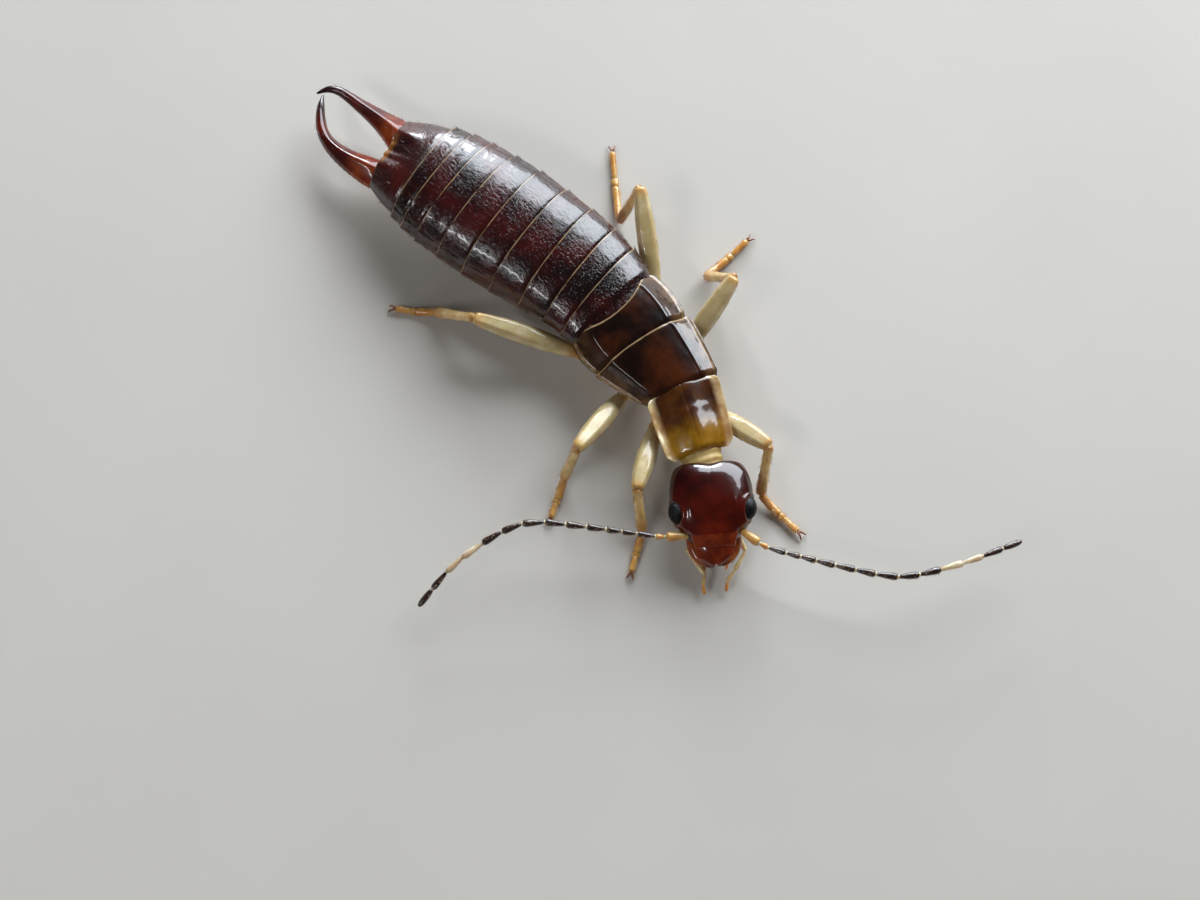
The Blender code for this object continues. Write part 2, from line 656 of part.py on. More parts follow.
clear_scene()
PARTS = new_collection("earwig")
CUTTERS = new_collection("sockets")
STANCE = bpy.data.objects.new("stance", None)
PARTS.objects.link(STANCE)
BUILT = {}
FINISHES = {
    "head": finish("dark mahogany shell", (0.075, 0.012, 0.006), 0.22),
    "neck": finish("pale neck skin", (0.62, 0.50, 0.30), 0.50),
    "prothorax": finish("honey shell", (0.42, 0.17, 0.035), 0.30),
    "mesothorax": finish("umber shell of the middle thorax", (0.060, 0.022, 0.010), 0.30),
    "metathorax": finish("umber shell of the rear thorax", (0.055, 0.020, 0.010), 0.30),
    "eye": finish("black eye", (0.010, 0.010, 0.012), 0.25),
    "mandible": finish("orange brown jaw", (0.30, 0.09, 0.025), 0.30),
    "palp": finish("pale palp", (0.60, 0.44, 0.22), 0.40),
    "antenna": finish("dark antenna", (0.060, 0.030, 0.022), 0.40),
    "forceps": finish("red brown forceps", (0.20, 0.035, 0.012), 0.25),
    "coxa": finish("ivory coxa", (0.62, 0.50, 0.28), 0.35),
    "femur": finish("ivory femur", (0.68, 0.56, 0.32), 0.30),
    "tibia": finish("amber tibia", (0.60, 0.36, 0.12), 0.35),
    "tarsus": finish("orange tarsus", (0.50, 0.22, 0.06), 0.40),
}
ABDOMEN_SHELL = finish("black red shell", (0.050, 0.012, 0.010), 0.40)
for segment in range(1, 11):
    FINISHES["abdomen_" + str(segment)] = ABDOMEN_SHELL

build_plates()
build_head()
build_eyes()
build_mouthparts()
build_forceps()
build_antennae()
build_legs()
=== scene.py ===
# %% [markdown]
# # A wingless earwig at life size
# The animal is a male about 15 mm long that stands on a floor, as a museum would show it.
# Its skin is a suit of hard plates. Each plate lies over the front of the next one, so each is
# modelled as its own thin shell, and the legs, feelers and forceps are set on that body.
# Every size is in millimetres on the floor plan and is turned into metres when a piece is done.

import math
import random
from collections import namedtuple

import bmesh
import bpy
import numpy as np
from mathutils import Matrix, Vector


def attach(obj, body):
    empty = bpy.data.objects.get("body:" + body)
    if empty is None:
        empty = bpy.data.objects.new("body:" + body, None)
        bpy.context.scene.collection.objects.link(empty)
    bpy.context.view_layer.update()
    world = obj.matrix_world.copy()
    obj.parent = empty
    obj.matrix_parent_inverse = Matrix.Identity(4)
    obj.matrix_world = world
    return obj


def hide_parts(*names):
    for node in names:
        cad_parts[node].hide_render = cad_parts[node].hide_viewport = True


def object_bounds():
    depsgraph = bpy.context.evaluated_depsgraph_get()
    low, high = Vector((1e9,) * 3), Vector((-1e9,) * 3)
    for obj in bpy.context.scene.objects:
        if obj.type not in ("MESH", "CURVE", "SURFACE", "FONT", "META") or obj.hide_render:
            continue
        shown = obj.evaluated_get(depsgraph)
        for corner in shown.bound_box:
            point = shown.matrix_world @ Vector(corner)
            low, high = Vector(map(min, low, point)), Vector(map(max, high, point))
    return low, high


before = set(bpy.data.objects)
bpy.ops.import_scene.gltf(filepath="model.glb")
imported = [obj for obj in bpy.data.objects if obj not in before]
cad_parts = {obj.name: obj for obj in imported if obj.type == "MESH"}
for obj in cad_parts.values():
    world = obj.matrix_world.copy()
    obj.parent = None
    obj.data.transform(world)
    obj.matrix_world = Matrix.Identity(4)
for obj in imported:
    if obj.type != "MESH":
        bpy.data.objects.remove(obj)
CAD_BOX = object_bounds()
MM = 0.001
CENTRE = Vector((0.270, 1.555, 0.0))
UP = Vector((0.0, 0.0, 1.0))
print("CAD nodes:", len(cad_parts))

# %% [markdown]
# ## The measures that drive the body
# The trunk is a chain of plates, walked from the neck to the tail. These are the same rows as in
# the part's source: a plate's length and heading, the plane at its hind rim, its half widths and
# heights, the height of its widest line and of its belly, and how fast it narrows below.

# %% Driving sizes of the trunk
Plate = namedtuple(
    "Plate",
    "name length heading rear_plane front_half rear_half front_top rear_top edge belly low_share power",
)
PLATES = (
    Plate("prothorax", 1.50, 21.4, 15.0, 0.78, 0.88, 1.30, 1.42, 1.16, 0.50, 0.70, 1.9),
    Plate("mesothorax", 1.37, -1.7, 4.0, 0.94, 1.32, 1.42, 1.55, 1.12, 0.46, 0.72, 1.9),
    Plate("metathorax", 1.15, 1.5, -5.0, 1.24, 1.27, 1.52, 1.62, 1.10, 0.43, 0.74, 1.9),
    Plate("abdomen_1", 0.52, 2.0, -12.0, 1.23, 1.31, 1.60, 1.68, 1.08, 0.42, 0.70, 2.2),
    Plate("abdomen_2", 0.58, -6.0, -14.5, 1.30, 1.38, 1.68, 1.77, 1.06, 0.37, 0.76, 2.2),
    Plate("abdomen_3", 0.70, -14.0, -15.5, 1.38, 1.44, 1.77, 1.86, 1.03, 0.33, 0.86, 2.3),
    Plate("abdomen_4", 0.78, -16.4, -15.0, 1.44, 1.49, 1.86, 1.93, 1.00, 0.30, 0.93, 2.3),
    Plate("abdomen_5", 0.76, -16.8, -15.0, 1.49, 1.53, 1.93, 1.97, 1.00, 0.28, 0.94, 2.3),
    Plate("abdomen_6", 0.72, -17.0, -14.5, 1.53, 1.51, 1.97, 1.96, 1.00, 0.28, 0.94, 2.3),
    Plate("abdomen_7", 0.64, -17.3, -14.5, 1.51, 1.47, 1.96, 1.91, 1.00, 0.31, 0.94, 2.3),
    Plate("abdomen_8", 0.48, -17.0, -15.0, 1.46, 1.41, 1.91, 1.84, 1.00, 0.35, 0.93, 2.3),
    Plate("abdomen_9", 0.42, -17.0, -17.0, 1.40, 1.31, 1.84, 1.76, 0.98, 0.41, 0.92, 2.3),
    Plate("abdomen_10", 1.04, -22.0, -24.0, 1.28, 0.94, 1.76, 1.34, 0.94, 0.52, 0.90, 2.3),
)
PRONOTUM_FRONT = Vector((1.56, -1.72, 0.0))
FIRST_PLANE = 20.0
HEAD_BACK = Vector((1.48, -2.09, 0.0))
HEAD_HEADING = 33.8
BELLY_POWER = 2.4


def heading_vector(degrees):
    """Unit vector on the floor that points tailward for a heading."""
    angle = math.radians(degrees)
    return Vector((math.sin(angle), math.cos(angle), 0.0))


def side_vector(degrees):
    """Unit vector on the floor that points to the animal's left for a heading."""
    angle = math.radians(degrees)
    return Vector((math.cos(angle), -math.sin(angle), 0.0))


def mix(first, second, share):
    """Value that lies a share of the way from the first to the second."""
    return first + (second - first) * share


def ease(value):
    """Smooth step from 0 to 1 while the value goes from 0 to 1."""
    value = min(max(value, 0.0), 1.0)
    return value * value * (3.0 - 2.0 * value)


def power_curve(value, power):
    """Keep a sine's sign and square its arc off."""
    return math.copysign(abs(value) ** (2.0 / power), value)


def walk_chain():
    """Places and headings of the planes between the plates."""
    places = [PRONOTUM_FRONT.copy()]
    for plate in PLATES:
        places.append(places[-1] + heading_vector(plate.heading) * plate.length)
    planes = [FIRST_PLANE] + [plate.rear_plane for plate in PLATES]
    return places, planes


CHAIN_PLACES, CHAIN_PLANES = walk_chain()
TAIL = CHAIN_PLACES[-1]
print("trunk length in mm:", round(sum(plate.length for plate in PLATES), 2))

# %% [markdown]
# ## Hand tools for the lesson
# Two ways of working make nearly every piece. A shell starts as a flat grid that is laid over the
# body like a cloth, and a limb starts as a circle that is extruded from station to station.
# Both remember how far along the piece each point is, so that a colour can follow the shape.

# %% Tools for starting and marking a piece


def start_fresh():
    """Leave edit mode and deselect everything, so that the next operator acts on one piece."""
    if bpy.context.object and bpy.context.object.mode != "OBJECT":
        bpy.ops.object.mode_set(mode="OBJECT")
    bpy.ops.object.select_all(action="DESELECT")


def pick(piece):
    """Make one piece the only selected one."""
    start_fresh()
    bpy.context.view_layer.objects.active = piece
    piece.select_set(True)


def edit_all(piece):
    """Open a piece in edit mode with all of it selected."""
    pick(piece)
    bpy.ops.object.mode_set(mode="EDIT")
    bpy.ops.mesh.select_all(action="SELECT")


def mark(piece, name, values):
    """Store one number for each point, for the materials to read."""
    attribute = piece.data.attributes.new(name, "FLOAT", "POINT")
    attribute.data.foreach_set("value", np.asarray(values, dtype=np.float32))


def close_up(piece, seam=0.0005):
    """Merge doubles, fill open ends and turn all faces outwards."""
    edit_all(piece)
    bpy.ops.mesh.remove_doubles(threshold=seam)
    bpy.ops.mesh.select_all(action="SELECT")
    bpy.ops.mesh.fill_holes(sides=0)
    bpy.ops.mesh.select_all(action="SELECT")
    bpy.ops.mesh.normals_make_consistent(inside=False)
    bpy.ops.object.mode_set(mode="OBJECT")


def lay_sheet(name, rows, along, roll=False):
    """Lay a grid on rows of places. A rolled sheet joins its two sides into a closed body."""
    start_fresh()
    columns = len(rows[0])
    bpy.ops.mesh.primitive_grid_add(x_subdivisions=columns - 1, y_subdivisions=len(rows) - 1, size=1.0)
    sheet = bpy.context.object
    sheet.name = name
    sheet.data.name = name
    sheet.data.vertices.foreach_set("co", np.array([tuple(p) for row in rows for p in row]).ravel())
    mark(sheet, "along", np.repeat(along, columns))
    mark(sheet, "across", np.tile(np.linspace(-1.0, 1.0, columns), len(rows)))
    if roll:
        close_up(sheet)
    return sheet


def draw_out(name, rings, along=None):
    """Extrude a circle from ring to ring, like pulling a shape out of clay, and close its ends."""
    start_fresh()
    bpy.ops.mesh.primitive_circle_add(vertices=len(rings[0]), radius=1.0)
    piece = bpy.context.object
    piece.name = name
    piece.data.name = name
    along = along or [step / (len(rings) - 1) for step in range(len(rings))]
    order = piece.data.attributes.new("order", "INT", "POINT")
    order.data.foreach_set("value", np.arange(len(rings[0]), dtype=np.int32))
    mark(piece, "along", np.zeros(len(rings[0])))
    bpy.ops.object.mode_set(mode="EDIT")
    bpy.ops.mesh.select_all(action="SELECT")
    for step, ring in enumerate(rings):
        if step:
            bpy.ops.mesh.extrude_region_move()
        shape = bmesh.from_edit_mesh(piece.data)
        place_in_ring = shape.verts.layers.int["order"]
        share = shape.verts.layers.float["along"]
        for point in shape.verts:
            if point.select:
                point.co = ring[point[place_in_ring]]
                point[share] = along[step]
        bmesh.update_edit_mesh(piece.data)
    bpy.ops.object.mode_set(mode="OBJECT")
    piece.data.attributes.remove(piece.data.attributes["order"])
    close_up(piece)
    return piece


# %% Tools for finishing a piece


def apply_modifier(piece, kind, **settings):
    """Add a modifier, set it and apply it at once."""
    pick(piece)
    modifier = piece.modifiers.new("shape", kind)
    for key, value in settings.items():
        setattr(modifier, key, value)
    bpy.ops.object.modifier_apply(modifier=modifier.name)


def soften(piece, levels=1):
    """Round a piece with a subdivision surface."""
    apply_modifier(piece, "SUBSURF", levels=levels, render_levels=levels)


def thicken(piece, depth, rim=0.3):
    """Give an open sheet a wall under it and round its rim a little."""
    pick(piece)
    if sum(face.normal.z * face.area for face in piece.data.polygons) < 0.0:
        edit_all(piece)
        bpy.ops.mesh.flip_normals()
        bpy.ops.object.mode_set(mode="OBJECT")
    apply_modifier(piece, "SOLIDIFY", thickness=depth, offset=-1.0)
    apply_modifier(
        piece, "BEVEL", width=depth * rim, segments=2, limit_method="ANGLE", angle_limit=math.radians(50.0),
    )


def crinkle(piece, depth, scale):
    """Press fine clouds of relief into a piece, so that its shine breaks up."""
    clouds = bpy.data.textures.new("fine relief", "CLOUDS")
    clouds.noise_scale = scale
    clouds.noise_depth = 2
    apply_modifier(
        piece, "DISPLACE", texture=clouds, texture_coords="LOCAL", strength=depth, mid_level=0.5,
    )


def merge_pieces(name, pieces):
    """Join several closed pieces into one object."""
    pick(pieces[0])
    for piece in pieces:
        piece.select_set(True)
    bpy.ops.object.join()
    whole = bpy.context.object
    whole.name = name
    whole.data.name = name
    return whole


def settle(piece, slot, material, *nodes):
    """Bring a finished piece to real size in the frame, give it its finish, hang it on the root and hide the CAD nodes
    that it stands for.
    """
    piece.data.transform(Matrix.Scale(MM, 4) @ Matrix.Translation(-CENTRE))
    if not piece.data.materials:
        piece.data.materials.append(material)
    pick(piece)
    bpy.ops.object.shade_smooth_by_angle(angle=math.radians(50.0))
    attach(piece, "root")
    if nodes:
        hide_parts(*nodes)
    return piece


# %% [markdown]
# ## Finishes
# Insect skin is glossy horn. Its colour lies in the horn, under a clear waxy film, so most finishes
# here are a noisy colour with a coat on top. Patterns read the piece's own place in millimetres,
# and bands and gradients read the marks that each shape carries.

# %% Shader helpers


def wire(tree, kind, values=None, **settings):
    """Add a shader node, set its choices, and set or link its inputs by name."""
    node = tree.nodes.new(kind)
    for key, value in settings.items():
        setattr(node, key, value)
    for key, value in (values or {}).items():
        if isinstance(value, bpy.types.NodeSocket):
            tree.links.new(value, node.inputs[key])
        else:
            node.inputs[key].default_value = value
    return node


def paint(colour):
    """A colour with full cover."""
    return (*colour, 1.0)


MIX_A, MIX_B, MIX_COLOUR = 6, 7, 2


def blend_colours(tree, share, first, second):
    """Colour between two others, each a plain colour or the output of another node."""
    return wire(tree, "ShaderNodeMix", {0: share, MIX_A: first, MIX_B: second}, data_type="RGBA").outputs[MIX_COLOUR]


def new_group(name, inputs, outputs):
    """Start a node group with named sockets and return it with its two ends."""
    group = bpy.data.node_groups.new(name, "ShaderNodeTree")
    kinds = {"colour": "NodeSocketColor", "number": "NodeSocketFloat", "place": "NodeSocketVector"}
    for socket, kind, value in inputs:
        made = group.interface.new_socket(socket, in_out="INPUT", socket_type=kinds[kind])
        made.default_value = value
    for socket, kind in outputs:
        group.interface.new_socket(socket, in_out="OUTPUT", socket_type=kinds[kind])
    start = group.nodes.new("NodeGroupInput")
    end = group.nodes.new("NodeGroupOutput")
    return group, start, end


def place_in_mm(tree):
    """The piece's own place, counted in millimetres."""
    spot = wire(tree, "ShaderNodeTexCoord").outputs["Object"]
    return wire(tree, "ShaderNodeMapping", {"Vector": spot, "Scale": (1000.0, 1000.0, 1000.0)}).outputs[0]


def read_mark(tree, name):
    """The number that each point of the piece carries under a name."""
    return wire(tree, "ShaderNodeAttribute", attribute_name=name).outputs["Fac"]


def band(tree, value, start, end):
    """Smooth mask that goes from 0 at start to 1 at end."""
    return wire(
        tree, "ShaderNodeMapRange", {"Value": value, "From Min": start, "From Max": end},
        interpolation_type="SMOOTHSTEP",
    ).outputs[0]


def times(tree, first, second):
    """Product of two numbers."""
    return wire(tree, "ShaderNodeMath", {0: first, 1: second}, operation="MULTIPLY").outputs[0]


def size_of(tree, value):
    """A number without its sign."""
    return wire(tree, "ShaderNodeMath", {0: value}, operation="ABSOLUTE").outputs[0]


# %% Shared effects
def make_mottle():
    """Two colours in soft clouds, as horn is never quite even."""
    group, start, end = new_group(
        "horn clouds",
        (("Dark", "colour", (0, 0, 0, 1)), ("Light", "colour", (1, 1, 1, 1)), ("Scale", "number", 2.0)),
        (("Colour", "colour"),),
    )
    clouds = wire(
        group, "ShaderNodeTexNoise",
        {"Vector": place_in_mm(group), "Scale": start.outputs["Scale"], "Detail": 5.0, "Roughness": 0.6},
    ).outputs["Fac"]
    colour = blend_colours(group, band(group, clouds, 0.35, 0.68), start.outputs["Dark"], start.outputs["Light"])
    group.links.new(colour, end.inputs["Colour"])
    return group


def make_relief():
    """Fine punctures and wrinkles, as heights between 0 and 1."""
    group, start, end = new_group(
        "horn relief",
        (("Pits", "number", 18.0), ("Pit depth", "number", 0.5), ("Wrinkles", "number", 9.0),
         ("Wrinkle depth", "number", 0.5)),
        (("Height", "number"), ("Grease", "number")),
    )
    place = place_in_mm(group)
    cells = wire(group, "ShaderNodeTexVoronoi", {"Vector": place, "Scale": start.outputs["Pits"]}).outputs["Distance"]
    pits = times(group, band(group, cells, 0.0, 0.32), start.outputs["Pit depth"])
    drawn_out = wire(group, "ShaderNodeMapping", {"Vector": place, "Scale": (1.0, 0.45, 1.0)}).outputs[0]
    folds = wire(
        group, "ShaderNodeTexNoise",
        {"Vector": drawn_out, "Scale": start.outputs["Wrinkles"], "Detail": 4.0, "Distortion": 0.6},
    ).outputs["Fac"]
    wrinkles = times(group, folds, start.outputs["Wrinkle depth"])
    height = wire(group, "ShaderNodeMath", {0: pits, 1: wrinkles}, operation="ADD").outputs[0]
    group.links.new(height, end.inputs["Height"])
    smears = wire(group, "ShaderNodeTexNoise", {"Vector": place, "Scale": 1.7, "Detail": 3.0}).outputs["Fac"]
    group.links.new(smears, end.inputs["Grease"])
    return group


MOTTLE = make_mottle()
RELIEF = make_relief()


def clouds_of(tree, dark, light, scale):
    """Place the horn clouds in a material."""
    group = wire(tree, "ShaderNodeGroup", node_tree=MOTTLE)
    group.inputs["Dark"].default_value = paint(dark)
    group.inputs["Light"].default_value = paint(light)
    group.inputs["Scale"].default_value = scale
    return group.outputs["Colour"]


Gloss = namedtuple("Gloss", "rough smear coat coat_rough pits pit_depth wrinkles wrinkle_depth bump glow shine")


def horn(name, gloss, colour_maker):
    """A material of glossy horn. The colour comes from colour_maker, which wires it up."""
    material = bpy.data.materials.new(name)
    material.use_nodes = True
    tree = material.node_tree
    shader = tree.nodes["Principled BSDF"]
    tree.links.new(colour_maker(tree), shader.inputs["Base Color"])
    relief = wire(tree, "ShaderNodeGroup", node_tree=RELIEF)
    relief.inputs["Pits"].default_value = gloss.pits
    relief.inputs["Pit depth"].default_value = gloss.pit_depth
    relief.inputs["Wrinkles"].default_value = gloss.wrinkles
    relief.inputs["Wrinkle depth"].default_value = gloss.wrinkle_depth
    rough = wire(
        tree, "ShaderNodeMapRange",
        {"Value": relief.outputs["Grease"], "To Min": gloss.rough, "To Max": gloss.rough + gloss.smear},
    ).outputs[0]
    tree.links.new(rough, shader.inputs["Roughness"])
    bump = wire(
        tree, "ShaderNodeBump",
        {"Height": relief.outputs["Height"], "Distance": gloss.bump * MM, "Strength": 1.0},
    ).outputs[0]
    tree.links.new(bump, shader.inputs["Normal"])
    shader.inputs["Coat Weight"].default_value = gloss.coat
    shader.inputs["Coat Roughness"].default_value = gloss.coat_rough
    shader.inputs["IOR"].default_value = 1.55
    shader.inputs["Specular IOR Level"].default_value = gloss.shine
    if gloss.glow:
        shader.inputs["Subsurface Weight"].default_value = gloss.glow
        shader.inputs["Subsurface Radius"].default_value = (1.0, 0.45, 0.18)
        shader.inputs["Subsurface Scale"].default_value = 0.25 * MM
    return material


# %% Colours of the finishes
TAN = (0.42, 0.25, 0.100)
CREAM = (0.80, 0.62, 0.34)
PALE_RIM = (0.40, 0.26, 0.13)
RIM_WIDTH = 0.034            # mm of pale rim at the hind edge of a ring


def ragged(tree, value, amount, scale):
    """A mark with a little noise added, so that a border drawn from it is uneven."""
    noise = wire(
        tree, "ShaderNodeTexNoise", {"Vector": place_in_mm(tree), "Scale": scale, "Detail": 3.0},
    ).outputs["Fac"]
    shift = wire(tree, "ShaderNodeMapRange", {"Value": noise, "To Min": -amount, "To Max": amount}).outputs[0]
    return wire(tree, "ShaderNodeMath", {0: value, 1: shift}, operation="ADD").outputs[0]


def head_colour(tree):
    """Black red at the back of the head and blood red toward the face."""
    shell = clouds_of(tree, (0.010, 0.0005, 0.0002), (0.046, 0.0020, 0.0004), 1.3)
    face = clouds_of(tree, (0.072, 0.0035, 0.0005), (0.18, 0.012, 0.0012), 1.9)
    front = band(tree, ragged(tree, read_mark(tree, "along"), 0.10, 2.0), 0.35, 0.90)
    return blend_colours(tree, front, shell, face)


def pronotum_colour(tree):
    """Golden horn, brown to the rear, with pale see-through side rims."""
    honey = clouds_of(tree, (0.24, 0.100, 0.003), (0.40, 0.200, 0.012), 1.6)
    umber = clouds_of(tree, (0.028, 0.0050, 0.0005), (0.095, 0.027, 0.0015), 1.6)
    along = read_mark(tree, "along")
    side = ragged(tree, size_of(tree, read_mark(tree, "across")), 0.04, 3.0)
    disc = blend_colours(tree, band(tree, ragged(tree, along, 0.20, 1.4), 1.28, 0.60), honey, umber)
    rimmed = blend_colours(tree, band(tree, side, 0.72, 0.93), disc, clouds_of(tree, TAN, CREAM, 2.2))
    return blend_colours(tree, band(tree, along, 0.070, 0.0), rimmed, paint(CREAM))


def notum_colour(tree):
    """Umber disc with an orange glow, tan flanks and a dark edge."""
    disc = clouds_of(tree, (0.006, 0.0012, 0.0004), (0.060, 0.012, 0.0011), 0.9)
    side = ragged(tree, size_of(tree, read_mark(tree, "across")), 0.03, 3.0)
    flank = clouds_of(tree, (0.032, 0.012, 0.004), (0.150, 0.070, 0.026), 2.5)
    shield = blend_colours(tree, band(tree, side, 0.60, 0.90), disc, flank)
    lined = blend_colours(tree, band(tree, side, 0.90, 0.94), shield, clouds_of(tree, (0.14, 0.075, 0.030), PALE_RIM, 4.0))
    edged = blend_colours(tree, band(tree, side, 0.968, 0.985), lined, paint((0.035, 0.014, 0.006)))
    along = ragged(tree, read_mark(tree, "along"), 0.02, 4.0)
    return blend_colours(tree, band(tree, along, 0.045, 0.0), edged, paint(PALE_RIM))


def tergite_colour(tree):
    """Black red horn with a thin, uneven tan rim and browner sides."""
    shell = clouds_of(tree, (0.0060, 0.0006, 0.0006), (0.050, 0.0032, 0.0025), 1.1)
    side = ragged(tree, size_of(tree, read_mark(tree, "across")), 0.05, 2.5)
    brown = clouds_of(tree, (0.055, 0.018, 0.006), (0.16, 0.062, 0.020), 2.0)
    sided = blend_colours(tree, band(tree, side, 0.70, 0.97), shell, brown)
    along = ragged(tree, read_mark(tree, "along"), 0.015, 6.0)
    rim = times(tree, band(tree, along, RIM_WIDTH, 0.0), band(tree, clouds_only(tree, 2.6), 0.25, 0.55))
    return blend_colours(tree, rim, sided, paint(PALE_RIM))


def clouds_only(tree, scale):
    """Soft noise between 0 and 1."""
    return wire(tree, "ShaderNodeTexNoise", {"Vector": place_in_mm(tree), "Scale": scale, "Detail": 2.0}).outputs["Fac"]


def last_plate_colour(tree):
    """Glossy dark red horn with a golden brown edge over the groove."""
    shell = clouds_of(tree, (0.018, 0.0010, 0.0006), (0.060, 0.0035, 0.0015), 1.2)
    middle = band(tree, size_of(tree, read_mark(tree, "across")), 0.16, 0.05)
    edge = times(tree, band(tree, read_mark(tree, "along"), 0.16, 0.0), middle)
    return blend_colours(tree, edge, shell, paint((0.30, 0.105, 0.018)))


def forceps_colour(tree):
    """Orange at the root, blood red along the arm and nearly black at the tip."""
    along = ragged(tree, read_mark(tree, "along"), 0.04, 3.0)
    root = clouds_of(tree, (0.16, 0.014, 0.002), (0.42, 0.075, 0.006), 1.8)
    arm = clouds_of(tree, (0.050, 0.0030, 0.0015), (0.135, 0.0080, 0.0025), 1.8)
    red = blend_colours(tree, band(tree, along, 0.06, 0.36), root, arm)
    return blend_colours(tree, band(tree, along, 0.55, 0.97), red, paint((0.016, 0.0035, 0.0025)))


def limb_colour(first, second, end, start_share, end_share):
    """Maker of a colour that changes toward one end of a limb."""
    def maker(tree):
        shaft = clouds_of(tree, first, second, 3.0)
        return blend_colours(tree, band(tree, read_mark(tree, "along"), start_share, end_share), shaft, paint(end))
    return maker


def thigh_colour(tree):
    """Ivory horn, amber at both ends."""
    along = read_mark(tree, "along")
    amber = clouds_of(tree, (0.50, 0.27, 0.070), (0.66, 0.42, 0.15), 3.0)
    ivory = clouds_of(tree, (0.50, 0.38, 0.17), (0.66, 0.54, 0.31), 2.2)
    shaft = blend_colours(tree, band(tree, along, 0.02, 0.16), amber, ivory)
    return blend_colours(tree, band(tree, along, 0.86, 1.0), shaft, amber)


def shin_colour(tree):
    """Pale horn, brown at the knee and amber at the ankle."""
    along = read_mark(tree, "along")
    pale = clouds_of(tree, (0.60, 0.40, 0.13), (0.78, 0.58, 0.27), 2.6)
    knee = blend_colours(tree, band(tree, along, 0.0, 0.14), paint((0.42, 0.19, 0.045)), pale)
    return blend_colours(tree, band(tree, along, 0.62, 1.0), knee, paint((0.58, 0.27, 0.060)))


def even_colour(first, second, scale=3.0):
    """Maker of a colour that only varies in clouds."""
    return lambda tree: clouds_of(tree, first, second, scale)


# %% The finishes themselves
SHELL_GLOSS = Gloss(0.17, 0.05, 0.55, 0.09, 19.0, 0.50, 19.0, 1.2, 0.010, 0.0, 0.60)
WET_GLOSS = Gloss(0.20, 0.08, 0.90, 0.05, 26.0, 0.12, 4.0, 0.4, 0.004, 0.0, 0.25)
LEG_GLOSS = Gloss(0.30, 0.10, 0.90, 0.06, 22.0, 0.3, 7.0, 0.6, 0.006, 0.45, 0.25)
SOFT_GLOSS = Gloss(0.46, 0.16, 0.25, 0.25, 16.0, 0.2, 6.0, 1.0, 0.007, 0.40, 0.25)
PLATE_GLOSS = WET_GLOSS._replace(glow=0.2)
BRISTLE_GLOSS = LEG_GLOSS._replace(bump=0.0, glow=0.0)

FINISH = {
    "head": horn("mahogany_horn", WET_GLOSS, head_colour),
    "pronotum": horn("honey_horn", WET_GLOSS._replace(rough=0.24, coat_rough=0.09, glow=0.30), pronotum_colour),
    "notum": horn("umber_horn", WET_GLOSS._replace(rough=0.20, coat_rough=0.06, bump=0.008), notum_colour),
    "tergite": horn("black_red_horn", SHELL_GLOSS, tergite_colour),
    "last_plate": horn("dark_red_horn", SHELL_GLOSS._replace(rough=0.24, coat_rough=0.16, bump=0.007, shine=0.75), last_plate_colour),
    "forceps": horn("forceps_horn", WET_GLOSS._replace(rough=0.26, coat=0.7, glow=0.10), forceps_colour),
    "membrane": horn("joint_membrane", SOFT_GLOSS, even_colour((0.42, 0.26, 0.11), (0.62, 0.45, 0.24), 4.0)),
    "dark_membrane": horn("flank_membrane", SOFT_GLOSS, even_colour((0.045, 0.018, 0.009), (0.12, 0.055, 0.026), 4.0)),
    "sternite": horn("belly_horn", SHELL_GLOSS, even_colour((0.050, 0.012, 0.005), (0.13, 0.036, 0.011), 1.6)),
    "sternum": horn("breast_horn", SHELL_GLOSS, even_colour((0.36, 0.18, 0.055), (0.56, 0.34, 0.13), 2.0)),
    "neck": horn("neck_skin", SOFT_GLOSS, even_colour((0.50, 0.32, 0.10), (0.70, 0.50, 0.21), 3.0)),
    "eye": horn("eye_lens", WET_GLOSS._replace(rough=0.40, coat=0.25, bump=0.0, shine=0.15), even_colour((0.002, 0.002, 0.003), (0.006, 0.005, 0.008), 6.0)),
    "clypeus": horn("lip_horn", PLATE_GLOSS, even_colour((0.125, 0.010, 0.002), (0.29, 0.040, 0.006), 2.4)),
    "jaw": horn("jaw_horn", PLATE_GLOSS, limb_colour((0.24, 0.040, 0.006), (0.40, 0.105, 0.015), (0.030, 0.008, 0.004), 0.60, 0.92)),
    "palp": horn("palp_skin", LEG_GLOSS, limb_colour((0.66, 0.45, 0.18), (0.82, 0.64, 0.34), (0.62, 0.26, 0.050), 0.74, 0.88)),
    "coxa": horn("coxa_horn", LEG_GLOSS, even_colour((0.62, 0.42, 0.16), (0.80, 0.62, 0.31))),
    "femur": horn("femur_horn", LEG_GLOSS, thigh_colour),
    "tibia": horn("tibia_horn", LEG_GLOSS, shin_colour),
    "knee": horn("knee_horn", LEG_GLOSS, even_colour((0.42, 0.19, 0.045), (0.60, 0.33, 0.10))),
    "tarsus": horn("tarsus_horn", LEG_GLOSS, even_colour((0.58, 0.27, 0.055), (0.72, 0.42, 0.12))),
    "claw": horn("claw_horn", WET_GLOSS, even_colour((0.16, 0.045, 0.012), (0.28, 0.095, 0.022))),
    "scape": horn("feeler_root_horn", LEG_GLOSS, even_colour((0.52, 0.26, 0.060), (0.68, 0.42, 0.13))),
    "flagellum": horn("feeler_horn", SHELL_GLOSS, even_colour((0.020, 0.0085, 0.0060), (0.060, 0.027, 0.018))),
    "pale_joint": horn("pale_feeler_horn", LEG_GLOSS, even_colour((0.56, 0.44, 0.27), (0.78, 0.67, 0.47))),
    "bristle": horn("bristle_horn", BRISTLE_GLOSS, even_colour((0.36, 0.18, 0.05), (0.60, 0.38, 0.15))),
    "dark_bristle": horn("dark_bristle_horn", BRISTLE_GLOSS, even_colour((0.05, 0.016, 0.006), (0.12, 0.045, 0.015))),
}
print("finishes:", len(FINISH))

